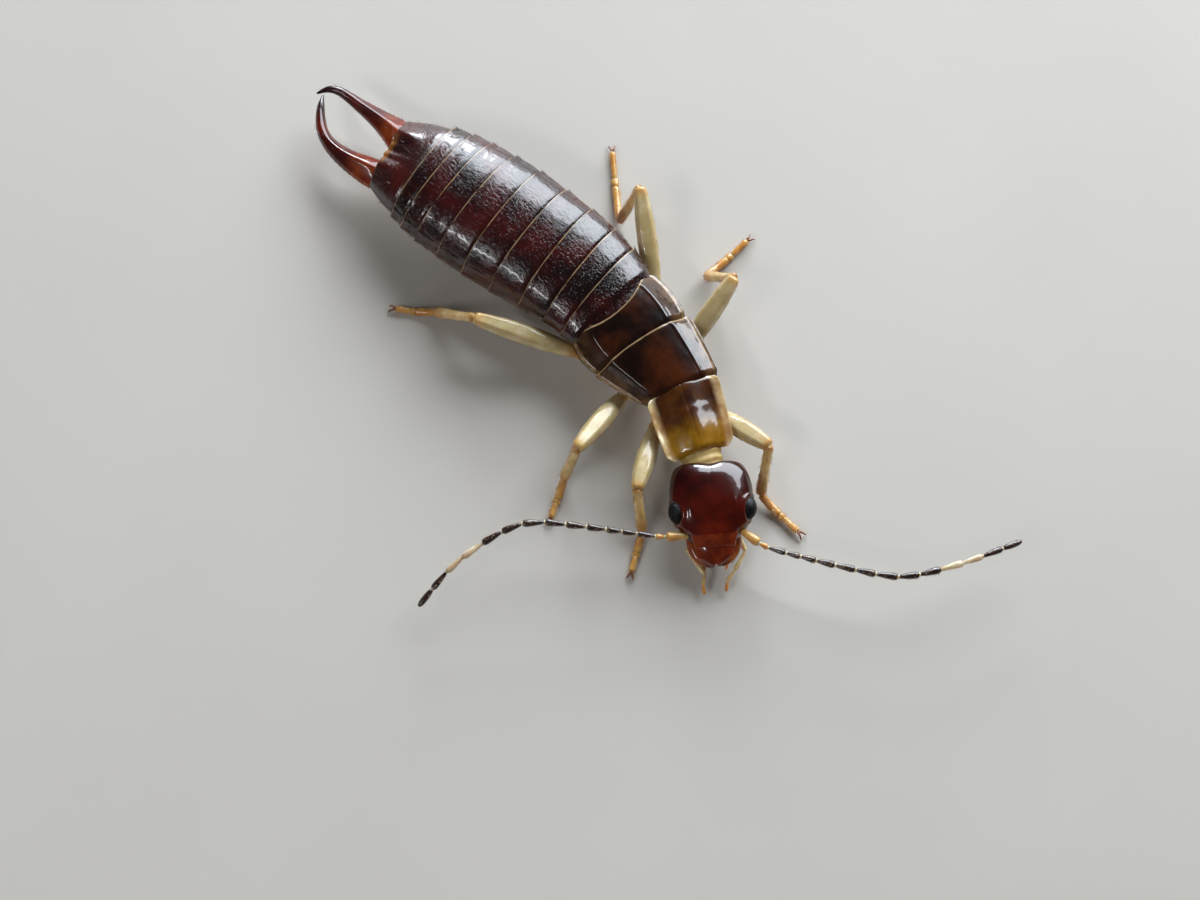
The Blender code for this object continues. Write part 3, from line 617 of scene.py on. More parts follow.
# %% [markdown]
# ## The soft body under the plates
# Between and under the plates lies leathery skin. One closed body fills the trunk, a little inside
# the plates, so that no gap shows through. The thorax is tan and the abdomen is dark.

# %% The core of the trunk
CORE_INSET = 0.085
THORAX_INSET = 0.17


def across_body(number, along, points, shift=0.0):
    """Stand up an outline of (across, height) at a share of one plate's length."""
    plate = PLATES[number]
    middle = CHAIN_PLACES[number] + heading_vector(plate.heading) * (plate.length * along)
    plane = mix(CHAIN_PLANES[number], CHAIN_PLANES[number + 1], along)
    side = side_vector(plane)
    back = heading_vector(plane)
    placed = []
    for point in points:
        lag = point[2] if len(point) > 2 else 0.0
        placed.append(middle + side * point[0] + UP * point[1] + back * (lag + shift))
    return placed


def body_outline(plate, along, inset, sides):
    """Closed outline of the trunk inside a plate."""
    half = mix(plate.front_half, plate.rear_half, along) - inset
    top = mix(plate.front_top, plate.rear_top, along) - inset
    low = half * plate.low_share
    points = []
    for step in range(sides + 1):
        turn = 2.0 * math.pi * step / sides - math.pi / 2.0
        cosine, sine = math.cos(turn), math.sin(turn)
        if sine >= 0.0:
            points.append((half * power_curve(cosine, plate.power), plate.edge + (top - plate.edge) * power_curve(sine, plate.power)))
        else:
            depth = plate.edge - plate.belly - inset * 0.3
            points.append((low * power_curve(cosine, BELLY_POWER), plate.edge + depth * power_curve(sine, BELLY_POWER)))
    return points


def build_core(name, numbers, inset):
    """Roll a sheet round part of the chain of plates."""
    rows = []
    for number in numbers:
        plate = PLATES[number]
        for along in (0.02, 0.25, 0.5, 0.75, 0.98):
            rows.append(across_body(number, along, body_outline(plate, along, inset, 48)))
    core = lay_sheet(name, rows, [step / (len(rows) - 1) for step in range(len(rows))], roll=True)
    soften(core)
    crinkle(core, 0.01, 0.20)
    return core


THORAX_CORE = settle(build_core("thorax_skin", range(0, 3), THORAX_INSET), "neck_skin", FINISH["membrane"])
ABDOMEN_CORE = settle(build_core("abdomen_skin", range(3, 12), CORE_INSET), "abdomen_shell", FINISH["dark_membrane"])
print("core box:", [round(value * 1000, 2) for value in ABDOMEN_CORE.dimensions])

# %% [markdown]
# ## Pronotum
# The first shield is nearly square. Its disc is domed and has a fine middle line, and its side rims
# are thin, pale and turned up. A height formula shapes the grid: disc, gutter and rim.

# %% The pronotum
PRONOTUM = PLATES[0]
PRONOTUM_COLUMNS = 72
PRONOTUM_ROWS = 44
DISC_EDGE = 0.86              # share of the half width where the disc meets the rim
PRONOTUM_WALL = 0.040


def pronotum_width(along):
    """Half width of the shield, with rounded corners."""
    half = mix(PRONOTUM.front_half, PRONOTUM.rear_half, along) + 0.02 * math.sin(math.pi * along)
    front = max(0.0, 1.0 - along / 0.13)
    rear = max(0.0, (along - 0.90) / 0.10)
    return half * (1.0 - 0.20 * front ** 2.4 - 0.09 * rear ** 2.2)


def pronotum_height(along, side):
    """Height over the floor at a share of the length and of the half width."""
    top = mix(PRONOTUM.front_top, PRONOTUM.rear_top, along)
    top += 0.045 * math.exp(-((along - 0.30) / 0.24) ** 2) - 0.015 * ease((along - 0.62) / 0.1)
    out = abs(side)
    fall = mix(0.215, 0.115, ease((along - 0.45) / 0.5))
    disc = top - fall * (1.0 - math.exp(-1.5 * (out / 0.62) ** 2.3))
    rim = 0.035 * ease((out - DISC_EDGE) / (1.0 - DISC_EDGE))
    line = 0.008 * math.exp(-(side / 0.020) ** 2) * ease((along - 0.06) / 0.1)
    pits = 0.009 * math.exp(-((out - 0.30) / 0.09) ** 2 - ((along - 0.16) / 0.06) ** 2)
    droop = 0.07 * max(0.0, 1.0 - along / 0.07) ** 2 + 0.03 * ease((along - 0.95) / 0.05)
    return disc + rim - line - pits - droop


def build_pronotum():
    """Lay the grid over the first part of the thorax."""
    rows, marks = [], []
    for row in range(PRONOTUM_ROWS + 1):
        along = row / PRONOTUM_ROWS
        points = []
        for side in np.linspace(-1.0, 1.0, PRONOTUM_COLUMNS + 1):
            bow = (0.13 * along ** 3 + 0.05 * (1.0 - along) ** 3) * (1.0 - side * side) - 0.03
            points.append((side * pronotum_width(along), pronotum_height(along, side), bow))
        rows.append(across_body(0, mix(0.0, 1.04, along), points))
        marks.append((1.0 - along) * PRONOTUM.length)
    shield = lay_sheet("pronotum", rows, marks)
    crinkle(shield, 0.010, 0.25)
    thicken(shield, PRONOTUM_WALL)
    return shield


PRONOTUM_PIECE = settle(build_pronotum(), "pronotum_shell", FINISH["pronotum"], "prothorax")

# %% [markdown]
# ## Middle and hind shields of the thorax
# A wingless earwig keeps bare shields where others carry wing covers. Each has a flat disc, a sharp
# keel at the shoulder and a flank that slopes to a thin, dark-edged rim. The hind one is hollowed
# out at the back, so the first ring of the abdomen shows in the bay.

# %% Mesonotum and metanotum
KEEL = 0.63                   # share of the half width where the keel runs
NOTUM_COLUMNS = 96
NOTUM_ROWS = 34
NOTUM_WALL = 0.030
# sink is how far, in mm, a front edge dips under the plate before.
Shield = namedtuple("Shield", "number bulge hollow tuck shoulder sink")
SHIELDS = (
    Shield(1, 0.02, -0.06, 0.14, 0.075, 0.105),
    Shield(2, 0.09, 0.27, 0.12, 0.070, 0.065),
)


def notum_height(plate, along, side, shoulder):
    """Height of a thorax shield over the floor."""
    out = abs(side)
    top = mix(plate.front_top, plate.rear_top, along)
    if out < KEEL:
        height = top - shoulder * (out / KEEL) ** 2.4
    else:
        slope = (out - KEEL) / (1.0 - KEEL)
        height = mix(top - shoulder, plate.edge + 0.02, slope ** 1.12)
    keel = 0.012 * math.exp(-((out - KEEL) / 0.034) ** 2) * ease((along - 0.05) / 0.2)
    rim = 0.05 * ease((out - 0.92) / 0.08)
    line = 0.003 * math.exp(-(side / 0.018) ** 2)
    return height + keel + rim - line


def build_notum(shield):
    """Lay the grid of a middle or hind shield."""
    plate = PLATES[shield.number]
    rows, marks = [], []
    front = -shield.tuck / plate.length
    rear = 1.0 + 0.05 / plate.length
    for row in range(NOTUM_ROWS + 1):
        share = row / NOTUM_ROWS
        along = mix(front, rear, share)
        distance = (along - front) * plate.length
        sink = shield.sink * (1.0 - ease((distance - 0.10) / 0.22))
        half = mix(plate.front_half, plate.rear_half, along) + shield.bulge * 4.0 * along * (1.0 - along)
        half = (half - sink * 0.8) * (1.0 - 0.06 * max(0.0, (share - 0.92) / 0.08) ** 2)
        points = []
        for side in np.linspace(-1.0, 1.0, NOTUM_COLUMNS + 1):
            bay = -shield.hollow * ease((share - 0.3) / 0.7) * max(0.0, 1.0 - (abs(side) / 0.80) ** 2.2)
            points.append((side * half, notum_height(plate, along, side, shield.shoulder) - sink, bay))
        rows.append(across_body(shield.number, along, points))
        marks.append((1.0 - share) * plate.length)
    notum = lay_sheet(plate.name.replace("thorax", "notum"), rows, marks)
    crinkle(notum, 0.008, 0.22)
    thicken(notum, NOTUM_WALL)
    return notum


for shield in SHIELDS:
    settle(build_notum(shield), "thorax_shell", FINISH["notum"], PLATES[shield.number].name)

# %% [markdown]
# ## Rings of the abdomen
# Nine plates follow one another like roof tiles. Each starts under the one before, rises to its
# full width and ends in a thin pale rim with slightly drawn-out corners. On the hinder ones a low
# keel runs along each flank. One recipe with each ring's own measures makes them all.

# %% Tergites
TERGITE_COLUMNS = 104
TERGITE_ROWS = 26
TERGITE_WALL = 0.022
FOLD = 0.27                   # radians that a plate folds under at its sides
TUCK_MM = 0.14
SINK_MM = 0.060
OVERHANG_MM = 0.045


def tergite_point(plate, along, side, grow, corner):
    """Across, height and lag of a point of a ring's dome."""
    turn = math.pi / 2.0 - side * (math.pi / 2.0 + FOLD)
    half = mix(plate.front_half, plate.rear_half, along) + grow
    top = mix(plate.front_top, plate.rear_top, along) + grow
    across = half * power_curve(math.cos(turn), plate.power)
    height = plate.edge + (top - plate.edge) * power_curve(math.sin(turn), plate.power)
    flank = math.exp(-((abs(side) - 0.83) / 0.10) ** 2)
    across += math.copysign(corner * flank, across)
    return across, height, corner * flank * 0.8


def build_tergite(number):
    """Lay one ring of the abdomen."""
    plate = PLATES[number]
    tuck = 0.46 if plate.name == "abdomen_1" else TUCK_MM
    keel_depth = 0.020 * ease((number - 5) / 3.0)
    front = -tuck / plate.length
    rear = 1.0 + OVERHANG_MM / plate.length
    rows, marks = [], []
    for row in range(TERGITE_ROWS + 1):
        share = 1.0 - (1.0 - row / TERGITE_ROWS) ** 1.35
        along = mix(front, rear, share)
        distance = (along - front) * plate.length
        sink = SINK_MM * (1.0 - ease((distance - tuck + 0.05) / 0.20))
        swell = 0.012 * math.sin(math.pi * ease(share)) + 0.010 * ease((share - 0.8) / 0.2)
        corner = 0.045 * ease((share - 0.55) / 0.45)
        points = []
        for side in np.linspace(-1.0, 1.0, TERGITE_COLUMNS + 1):
            keel = keel_depth * math.exp(-((abs(side) - 0.66) / 0.022) ** 2) * ease((share - 0.25) / 0.3)
            points.append(tergite_point(plate, along, side, swell + keel - sink, corner))
        rows.append(across_body(number, along, points))
        marks.append((1.0 - share) * (rear - front) * plate.length)
    ring = lay_sheet(plate.name.replace("abdomen", "tergite"), rows, marks)
    crinkle(ring, 0.012, 0.09)
    thicken(ring, TERGITE_WALL)
    return ring


TERGITES = {
    number: settle(build_tergite(number), "abdomen_shell", FINISH["tergite"], PLATES[number].name)
    for number in range(3, 12)
}

# %% [markdown]
# ## Belly plates
# A male shows eight plates under its abdomen. They are flatter than those above and slip inside
# the folded sides of the rings. Three plates of horn also lie under the thorax.

# %% Sternites
STERNITE_ROWS = 14
STERNITE_COLUMNS = 56
BELLY_MARGIN = 0.16           # radians kept free at each side of the belly


def build_belly_plate(name, number, tuck, width_share=1.0, front_share=0.0, rear_share=1.0, taper=0.0):
    """Lay one plate under the trunk, from its own front to its hind rim."""
    plate = PLATES[number]
    rows, marks = [], []
    front = front_share - tuck / plate.length
    for row in range(STERNITE_ROWS + 1):
        share = row / STERNITE_ROWS
        along = mix(front, rear_share, share)
        sink = 0.05 * (1.0 - ease(share / 0.35))
        low = (mix(plate.front_half, plate.rear_half, along) - sink) * plate.low_share * width_share
        low *= 1.0 - taper * share ** 3
        depth = plate.edge - plate.belly - sink
        points = []
        for side in np.linspace(-1.0, 1.0, STERNITE_COLUMNS + 1):
            turn = -math.pi / 2.0 + side * (math.pi / 2.0 - BELLY_MARGIN)
            lag = 0.06 * share * (1.0 - side * side)
            points.append((low * power_curve(math.cos(turn), BELLY_POWER), plate.edge + depth * power_curve(math.sin(turn), BELLY_POWER), lag))
        rows.append(across_body(number, along, points))
        marks.append((1.0 - share) * plate.length)
    belly = lay_sheet(name, rows, marks)
    crinkle(belly, 0.008, 0.10)
    edit_all(belly)
    bpy.ops.mesh.normals_make_consistent(inside=False)
    bpy.ops.object.mode_set(mode="OBJECT")
    if sum(face.normal.z * face.area for face in belly.data.polygons) > 0.0:
        edit_all(belly)
        bpy.ops.mesh.flip_normals()
        bpy.ops.object.mode_set(mode="OBJECT")
    apply_modifier(belly, "SOLIDIFY", thickness=0.022, offset=-1.0)
    return belly


for number in range(4, 12):
    belly = build_belly_plate("sternite_" + str(number - 2), number, 0.10)
    settle(belly, "abdomen_shell", FINISH["sternite"])
for name, number, width, front, rear in (
    ("prosternum", 0, 0.66, 0.10, 0.92), ("mesosternum", 1, 0.62, 0.06, 0.96), ("metasternum", 2, 0.66, 0.04, 1.0),
):
    settle(build_belly_plate(name, number, 0.02, width, front, rear, 0.25), "thorax_shell", FINISH["sternum"])

# %% [markdown]
# ## Side plates of the thorax
# Between the shields and the hips each segment of the thorax has a plate of horn on either side.
# It bulges a little and an oblique groove divides it. It is laid like the belly plates, but upright.

# %% Side plates
SIDE_ROWS = 26
SIDE_COLUMNS = 22
SIDE_PLATE_REACH = (math.radians(7.0), math.radians(60.0))
SIDE_PLATES = (("propleuron", 0, 0.06, 0.90), ("mesopleuron", 1, 0.06, 0.95), ("metapleuron", 2, 0.05, 1.0))


def build_side_plate(name, number, front, rear, sign):
    """Lay one plate on the side of the thorax. sign is +1 on the left."""
    plate = PLATES[number]
    rows, marks = [], []
    for row in range(SIDE_ROWS + 1):
        share = row / SIDE_ROWS
        along = mix(front, rear, share)
        low = (mix(plate.front_half, plate.rear_half, along) - 0.08) * plate.low_share
        points = []
        for column in range(SIDE_COLUMNS + 1):
            level = column / SIDE_COLUMNS
            turn = -mix(*SIDE_PLATE_REACH, level)
            bulge = 0.060 * math.sqrt(math.sin(math.pi * share) * math.sin(math.pi * level) + 1e-6)
            bulge -= 0.030 * math.exp(-((share - 0.62 + 0.30 * level) / 0.035) ** 2)
            across = (low + bulge) * power_curve(math.cos(turn), BELLY_POWER)
            height = plate.edge + (plate.edge - plate.belly) * power_curve(math.sin(turn), BELLY_POWER)
            points.append((sign * across, height))
        rows.append(across_body(number, along, points))
        marks.append(share)
    wall = lay_sheet(name, rows, marks)
    crinkle(wall, 0.010, 0.20)
    outward = side_vector(plate.heading) * sign
    if sum(face.normal.dot(outward) * face.area for face in wall.data.polygons) < 0.0:
        edit_all(wall)
        bpy.ops.mesh.flip_normals()
        bpy.ops.object.mode_set(mode="OBJECT")
    apply_modifier(wall, "SOLIDIFY", thickness=0.030, offset=-1.0)
    return wall


for name, number, front, rear in SIDE_PLATES:
    for side_name, sign in (("left", 1.0), ("right", -1.0)):
        side_plate = build_side_plate(name + "_" + side_name, number, front, rear, sign)
        settle(side_plate, "thorax_shell", FINISH["sternum"])

# %% [markdown]
# ## The last ring
# The tenth ring is larger than those before it, because it holds the muscles of the forceps.
# It narrows to the rear, bulges over the root of each branch and has a groove in the middle.
# It is a rolled sheet, closed at the back by a wall that is set in a little.

# %% Tenth tergite
LAST = PLATES[-1]
LAST_COLUMNS = 112
LAST_ROWS = 34


def last_outline(along, inset, columns):
    """Closed outline of the last ring with its humps and groove."""
    half = mix(LAST.front_half, LAST.rear_half, along) - inset + 0.035 * math.sin(math.pi * min(1.0, max(0.0, along)))
    top = mix(LAST.front_top, LAST.rear_top, along) - inset
    hump_share = ease((along - 0.25) / 0.6)
    points = []
    for step in range(columns + 1):
        turn = 2.0 * math.pi * step / columns - math.pi / 2.0
        cosine, sine = math.cos(turn), math.sin(turn)
        if sine >= 0.0:
            across = half * power_curve(cosine, LAST.power)
            height = LAST.edge + (top - LAST.edge) * power_curve(sine, LAST.power)
            hump = math.exp(-((abs(across) - 0.48) / 0.17) ** 2) * 0.100
            groove = math.exp(-(across / 0.075) ** 2) * 0.100
            creases = math.exp(-((abs(across) - 0.22) / 0.05) ** 2) * 0.045
            height += hump_share * (hump - groove - creases)
        else:
            across = half * LAST.low_share * power_curve(cosine, BELLY_POWER)
            height = LAST.edge + (LAST.edge - LAST.belly - inset * 0.4) * power_curve(sine, BELLY_POWER)
        points.append((across, height))
    return points


def build_last_ring():
    """Roll the last ring and close its rear wall."""
    rows, marks = [], []
    front = -0.12 / LAST.length
    for row in range(LAST_ROWS + 1):
        share = row / LAST_ROWS
        along = mix(front, 1.0, share)
        distance = (along - front) * LAST.length
        inset = SINK_MM * (1.0 - ease((distance - 0.08) / 0.22)) - 0.012 * math.sin(math.pi * share)
        rows.append(across_body(9 + 3, along, last_outline(along, inset, LAST_COLUMNS)))
        marks.append((1.0 - share) * LAST.length)
    for inset, shift in ((0.012, 0.012), (0.035, 0.015), (0.060, 0.0), (0.080, -0.045), (0.20, -0.06)):
        rows.append(across_body(12, 1.0, last_outline(1.0, inset, LAST_COLUMNS), shift))
        marks.append(0.0)
    ring = lay_sheet("last_ring", rows, marks, roll=True)
    soften(ring)
    crinkle(ring, 0.006, 0.30)
    return ring


LAST_RING = settle(build_last_ring(), "last_plate_shell", FINISH["last_plate"], LAST.name)

PYGIDIUM_HEIGHT = 0.86
# Shift behind the rear wall, half width and half height.
PYGIDIUM = (
    (-0.08, 0.100, 0.16), (0.02, 0.105, 0.17), (0.09, 0.095, 0.15), (0.14, 0.065, 0.11), (0.165, 0.025, 0.045),
)
pygidium_rings = []
for shift, wide, high in PYGIDIUM:
    turns = [2.0 * math.pi * step / 20 for step in range(20)]
    outline = [(wide * math.cos(turn), PYGIDIUM_HEIGHT + high * math.sin(turn)) for turn in turns]
    pygidium_rings.append(across_body(12, 1.0, outline, shift))
pygidium = draw_out("pygidium", pygidium_rings)
soften(pygidium)
settle(pygidium, "last_plate_shell", FINISH["knee"])

# %% [markdown]
# ## Forceps
# The tail ends in two curved branches. In this male the right one is bowed and the left one is
# straighter and hooks over it. Each is thick and three-sided at the root, with a keel on top and a
# row of small teeth on the inner edge, and it runs out to a slim hook.

# %% The two branches
# From root to tip: x, y and height with half width and half height.
FORCEPS = {
    "right": (
        (-0.10, 8.36, 0.86, 0.355, 0.30), (-0.23, 8.66, 0.86, 0.325, 0.30), (-0.39, 9.03, 0.86, 0.260, 0.26),
        (-0.50, 9.42, 0.84, 0.205, 0.22), (-0.53, 9.80, 0.82, 0.165, 0.18), (-0.46, 10.13, 0.80, 0.140, 0.15),
        (-0.30, 10.43, 0.77, 0.120, 0.12), (-0.10, 10.70, 0.72, 0.090, 0.09), (0.12, 10.93, 0.66, 0.022, 0.026),
    ),
    "left": (
        (0.85, 8.78, 0.88, 0.365, 0.30), (0.83, 9.05, 0.88, 0.325, 0.29), (0.77, 9.36, 0.90, 0.260, 0.25),
        (0.69, 9.70, 0.92, 0.205, 0.21), (0.60, 10.03, 0.95, 0.165, 0.17), (0.52, 10.33, 0.98, 0.135, 0.14),
        (0.42, 10.60, 1.01, 0.108, 0.11), (0.24, 10.80, 1.03, 0.080, 0.08), (-0.05, 10.89, 1.03, 0.020, 0.024),
    ),
}
FORCEPS_SIDES = 28
FORCEPS_RINGS = 64
KEEL_HEIGHT = 0.045
TOOTH_COUNT = 11
TOOTH_HEIGHT = 0.022


def smooth_rows(rows, steps):
    """Even steps on smooth curves through rows of numbers, one curve for each column."""
    rows = np.array(rows, float)
    padded = np.vstack([2.0 * rows[0] - rows[1], rows, 2.0 * rows[-1] - rows[-2]])
    made = []
    for share in np.linspace(0.0, len(rows) - 1.0, steps):
        index = min(int(share), len(rows) - 2)
        t = share - index
        before, start, end, after = padded[index:index + 4]
        bend, next_bend = (end - before) / 2.0, (after - start) / 2.0
        made.append(
            start * (2 * t ** 3 - 3 * t ** 2 + 1) + bend * (t ** 3 - 2 * t ** 2 + t)
            + end * (3 * t ** 2 - 2 * t ** 3) + next_bend * (t ** 3 - t ** 2)
        )
    return made


def frames_along(places, first_normal=None):
    """A direction, a level side and an up vector for each place on a path."""
    frames = []
    last = len(places) - 1
    for index in range(len(places)):
        along = (places[min(index + 1, last)] - places[max(index - 1, 0)]).normalized()
        if index == 0 and first_normal is not None:
            along = first_normal
        side = along.cross(UP).normalized()
        frames.append((along, side, side.cross(along)))
    return frames


def build_branch(side_name, rows, inner):
    """Extrude one branch. inner is +1 or -1, the side that its teeth are on."""
    path = smooth_rows(rows, FORCEPS_RINGS)
    places = [Vector(row[:3]) for row in path]
    rings = []
    for index, (along, side, up) in enumerate(frames_along(places, heading_vector(LAST.rear_plane))):
        share = index / (FORCEPS_RINGS - 1)
        wide, high = path[index][3], path[index][4]
        keel = KEEL_HEIGHT * (1.0 - ease((share - 0.25) / 0.45)) * ease(share / 0.08)
        toothed = ease((share - 0.05) / 0.05) * (1.0 - ease((share - 0.42) / 0.1))
        tooth = TOOTH_HEIGHT * toothed * (0.5 + 0.5 * math.cos(2.0 * math.pi * share / 0.48 * TOOTH_COUNT))
        flange = 0.055 * (1.0 - ease(share / 0.5))
        ring = []
        for step in range(FORCEPS_SIDES):
            turn = 2.0 * math.pi * step / FORCEPS_SIDES
            cosine, sine = math.cos(turn), math.sin(turn)
            ridge = keel * math.exp(-((turn - math.pi / 2.0) / 0.30) ** 2)
            facing = max(0.0, cosine * inner)
            blade = (flange + tooth) * facing ** 6
            flat = 1.0 - 0.10 * (1.0 - share) * max(0.0, sine) * abs(cosine)
            offset = side * (wide * cosine * flat + inner * blade) + up * (high * sine * flat + ridge)
            ring.append(places[index] + offset)
        rings.append(ring)
    branch = draw_out("forceps_branch_" + side_name, rings)
    soften(branch)
    return branch


BRANCHES = {}
for side_name, inner in (("right", -1.0), ("left", 1.0)):
    branch = build_branch(side_name, FORCEPS[side_name], inner)
    BRANCHES[side_name] = settle(branch, "forceps_shell", FINISH["forceps"], "forceps_" + side_name)

# %% [markdown]
# ## The head
# The head is a smooth, low capsule, widest through the eyes, with two soft lobes at the back.
# It is rolled from a grid in the head's own measures, rounded, and then carved along its normals:
# the seams on the crown, the rim round each eye and the pits that hold the feelers.

# %% Head measures and tools
# Distance forward of the neck notch, half width, height of the widest line, top and underside.
HEAD_SECTIONS = (
    (-0.175, 0.34, 0.86, 0.98, 0.74), (-0.14, 0.60, 0.86, 1.12, 0.60), (-0.06, 0.77, 0.88, 1.225, 0.53),
    (0.15, 0.88, 0.90, 1.31, 0.47), (0.45, 0.94, 0.90, 1.345, 0.43), (0.80, 0.95, 0.90, 1.35, 0.41),
    (1.10, 0.91, 0.88, 1.31, 0.41), (1.35, 0.79, 0.81, 1.20, 0.42), (1.52, 0.64, 0.75, 1.07, 0.43),
    (1.62, 0.52, 0.71, 0.97, 0.44), (1.66, 0.38, 0.68, 0.86, 0.48),
)
HEAD_COLUMNS = 88
HEAD_ROWS = 56
HEAD_POWER = 2.3
EYE_PLACE = Vector((0.785, -0.98, 0.97))       # to the left, tailward and up, in the head's frame
EYE_SIZE = Vector((0.205, 0.27, 0.225))
EYE_TURN = math.radians(8.0)
SOCKET_PLACE = Vector((0.575, -1.43, 0.82))
HEAD_FRAME = Matrix.Translation(HEAD_BACK) @ Matrix.Rotation(-math.radians(HEAD_HEADING), 4, "Z")


def carve(piece, depth_at):
    """Move each point of a piece along its normal by the depth that a formula gives for its place."""
    mesh = piece.data
    places = np.empty(len(mesh.vertices) * 3)
    normals = np.empty(len(mesh.vertices) * 3)
    mesh.vertices.foreach_get("co", places)
    mesh.vertices.foreach_get("normal", normals)
    places = places.reshape(-1, 3)
    places += normals.reshape(-1, 3) * depth_at(places)[:, None]
    mesh.vertices.foreach_set("co", places.ravel())
    mesh.update()


def on_head(piece):
    """Turn a piece from the head's own frame to where the head points."""
    piece.data.transform(HEAD_FRAME)
    return piece


def bell(value, width):
    """A smooth hump of height 1 at 0."""
    return np.exp(-(value / width) ** 2)


def head_relief(places):
    """Depth of the carving at each place of the capsule, in the head's frame."""
    side, forward, height = places[:, 0], -places[:, 1], places[:, 2]
    out = np.abs(side)
    crown = np.clip((height - 0.95) / 0.1, 0.0, 1.0)
    seam_end = np.clip((0.64 - forward) / 0.06, 0.0, 1.0)
    arm_reach = np.clip((forward - 0.58) / 0.06, 0.0, 1.0) * np.clip((1.20 - forward) / 0.1, 0.0, 1.0)
    seam = -0.006 * bell(side, 0.014) * seam_end * crown
    arms = -0.005 * bell(out - np.maximum(0.0, forward - 0.61) * 0.80, 0.016) * arm_reach * crown
    brow = -0.020 * bell(forward - 1.34, 0.07) * bell(side, 0.30) * crown
    dents = -0.014 * bell(forward - 1.02, 0.14) * bell(out - 0.30, 0.12) * crown
    eye = np.sqrt(
        ((out - EYE_PLACE.x) / EYE_SIZE.x) ** 2 + ((forward + EYE_PLACE.y) / EYE_SIZE.y) ** 2
        + ((height - EYE_PLACE.z) / EYE_SIZE.z) ** 2
    )
    orbit = 0.020 * bell(eye - 1.25, 0.13) - 0.030 * (eye < 1.02)
    fold = 0.022 * bell(out - 0.50, 0.055) * bell(forward - 0.96, 0.17) * crown
    socket = np.sqrt((out - SOCKET_PLACE.x) ** 2 + (forward + SOCKET_PLACE.y) ** 2 + (height - SOCKET_PLACE.z) ** 2)
    cup = -0.045 * bell(socket, 0.11)
    return seam + arms + brow + dents + orbit + fold + cup


# %% The capsule
def build_capsule():
    """Roll the capsule, notch its back and carve it."""
    rows, marks = [], []
    for forward, half, edge, top, belly in smooth_rows(HEAD_SECTIONS, HEAD_ROWS + 1):
        points = []
        for step in range(HEAD_COLUMNS + 1):
            turn = 2.0 * math.pi * step / HEAD_COLUMNS - math.pi / 2.0
            cosine, sine = math.cos(turn), math.sin(turn)
            reach = top - edge if sine >= 0.0 else edge - belly
            side = half * power_curve(cosine, HEAD_POWER)
            notch = 0.060 * math.exp(-(side / 0.22) ** 2) * (1.0 - ease((forward + 0.17) / 0.45))
            points.append(Vector((side, -forward - notch, edge + reach * power_curve(sine, HEAD_POWER))))
        rows.append(points)
        marks.append((forward + 0.18) / 1.84)
    capsule = lay_sheet("head_capsule", rows, marks, roll=True)
    soften(capsule)
    carve(capsule, head_relief)
    crinkle(capsule, 0.004, 0.20)
    return on_head(capsule)


settle(build_capsule(), "head_shell", FINISH["head"], "head")

# %% [markdown]
# ## Eyes
# Each eye is a bunch of hundreds of small lenses. A ball of triangles has one point for each lens,
# so bevelling its points turns them into six-sided fields, and poking those fields domes them.

# %% Compound eyes
LENS_BEVEL = 47.0             # percent of an edge that the bevel takes from each end
LENS_DOME = 0.028             # height of a lens on an eye of radius 1


def build_eye(side_name, sign):
    """Make one eye from a ball of triangles."""
    start_fresh()
    bpy.ops.mesh.primitive_ico_sphere_add(subdivisions=4, radius=1.0)
    eye = bpy.context.object
    eye.name = eye.data.name = "compound_eye_" + side_name
    bpy.ops.object.mode_set(mode="EDIT")
    bpy.ops.mesh.select_all(action="SELECT")
    bpy.ops.mesh.bevel(offset_type="PERCENT", offset_pct=LENS_BEVEL, affect="VERTICES")
    shape = bmesh.from_edit_mesh(eye.data)
    for face in shape.faces:
        face.select_set(len(face.verts) < 5)
    for face in shape.faces:
        if len(face.verts) >= 5:
            face.select_set(True)
        else:
            face.select_set(False)
    bmesh.update_edit_mesh(eye.data)
    bpy.ops.mesh.poke(offset=LENS_DOME)
    bpy.ops.mesh.select_all(action="SELECT")
    bpy.ops.transform.resize(value=EYE_SIZE * 1.02)
    bpy.ops.object.mode_set(mode="OBJECT")
    place = Vector((EYE_PLACE.x * sign, EYE_PLACE.y, EYE_PLACE.z))
    eye.data.transform(Matrix.Translation(place) @ Matrix.Rotation(-EYE_TURN * sign, 4, "Z"))
    return on_head(eye)


for side_name, sign in (("left", 1.0), ("right", -1.0)):
    settle(build_eye(side_name, sign), "eye", FINISH["eye"], "eye_" + side_name)

# %% [markdown]
# ## Face plates
# In front of the crown lie the clypeus and the upper lip, two thin convex plates that roof the
# mouth. The lip has a small notch and rounded corners.

# %% Clypeus and upper lip
FacePlate = namedtuple("FacePlate", "name start end half_start half_end top_start top_end arch_start arch_end rounding notch")
FACE_WALL = 0.05
FACE_PLATES = (
    FacePlate("clypeus", 1.38, 1.80, 0.56, 0.455, 1.090, 0.900, 0.060, 0.15, 0.05, 0.0),
    FacePlate("upper_lip", 1.75, 2.17, 0.435, 0.40, 0.890, 0.640, 0.13, 0.16, 1.0, 0.03),
)


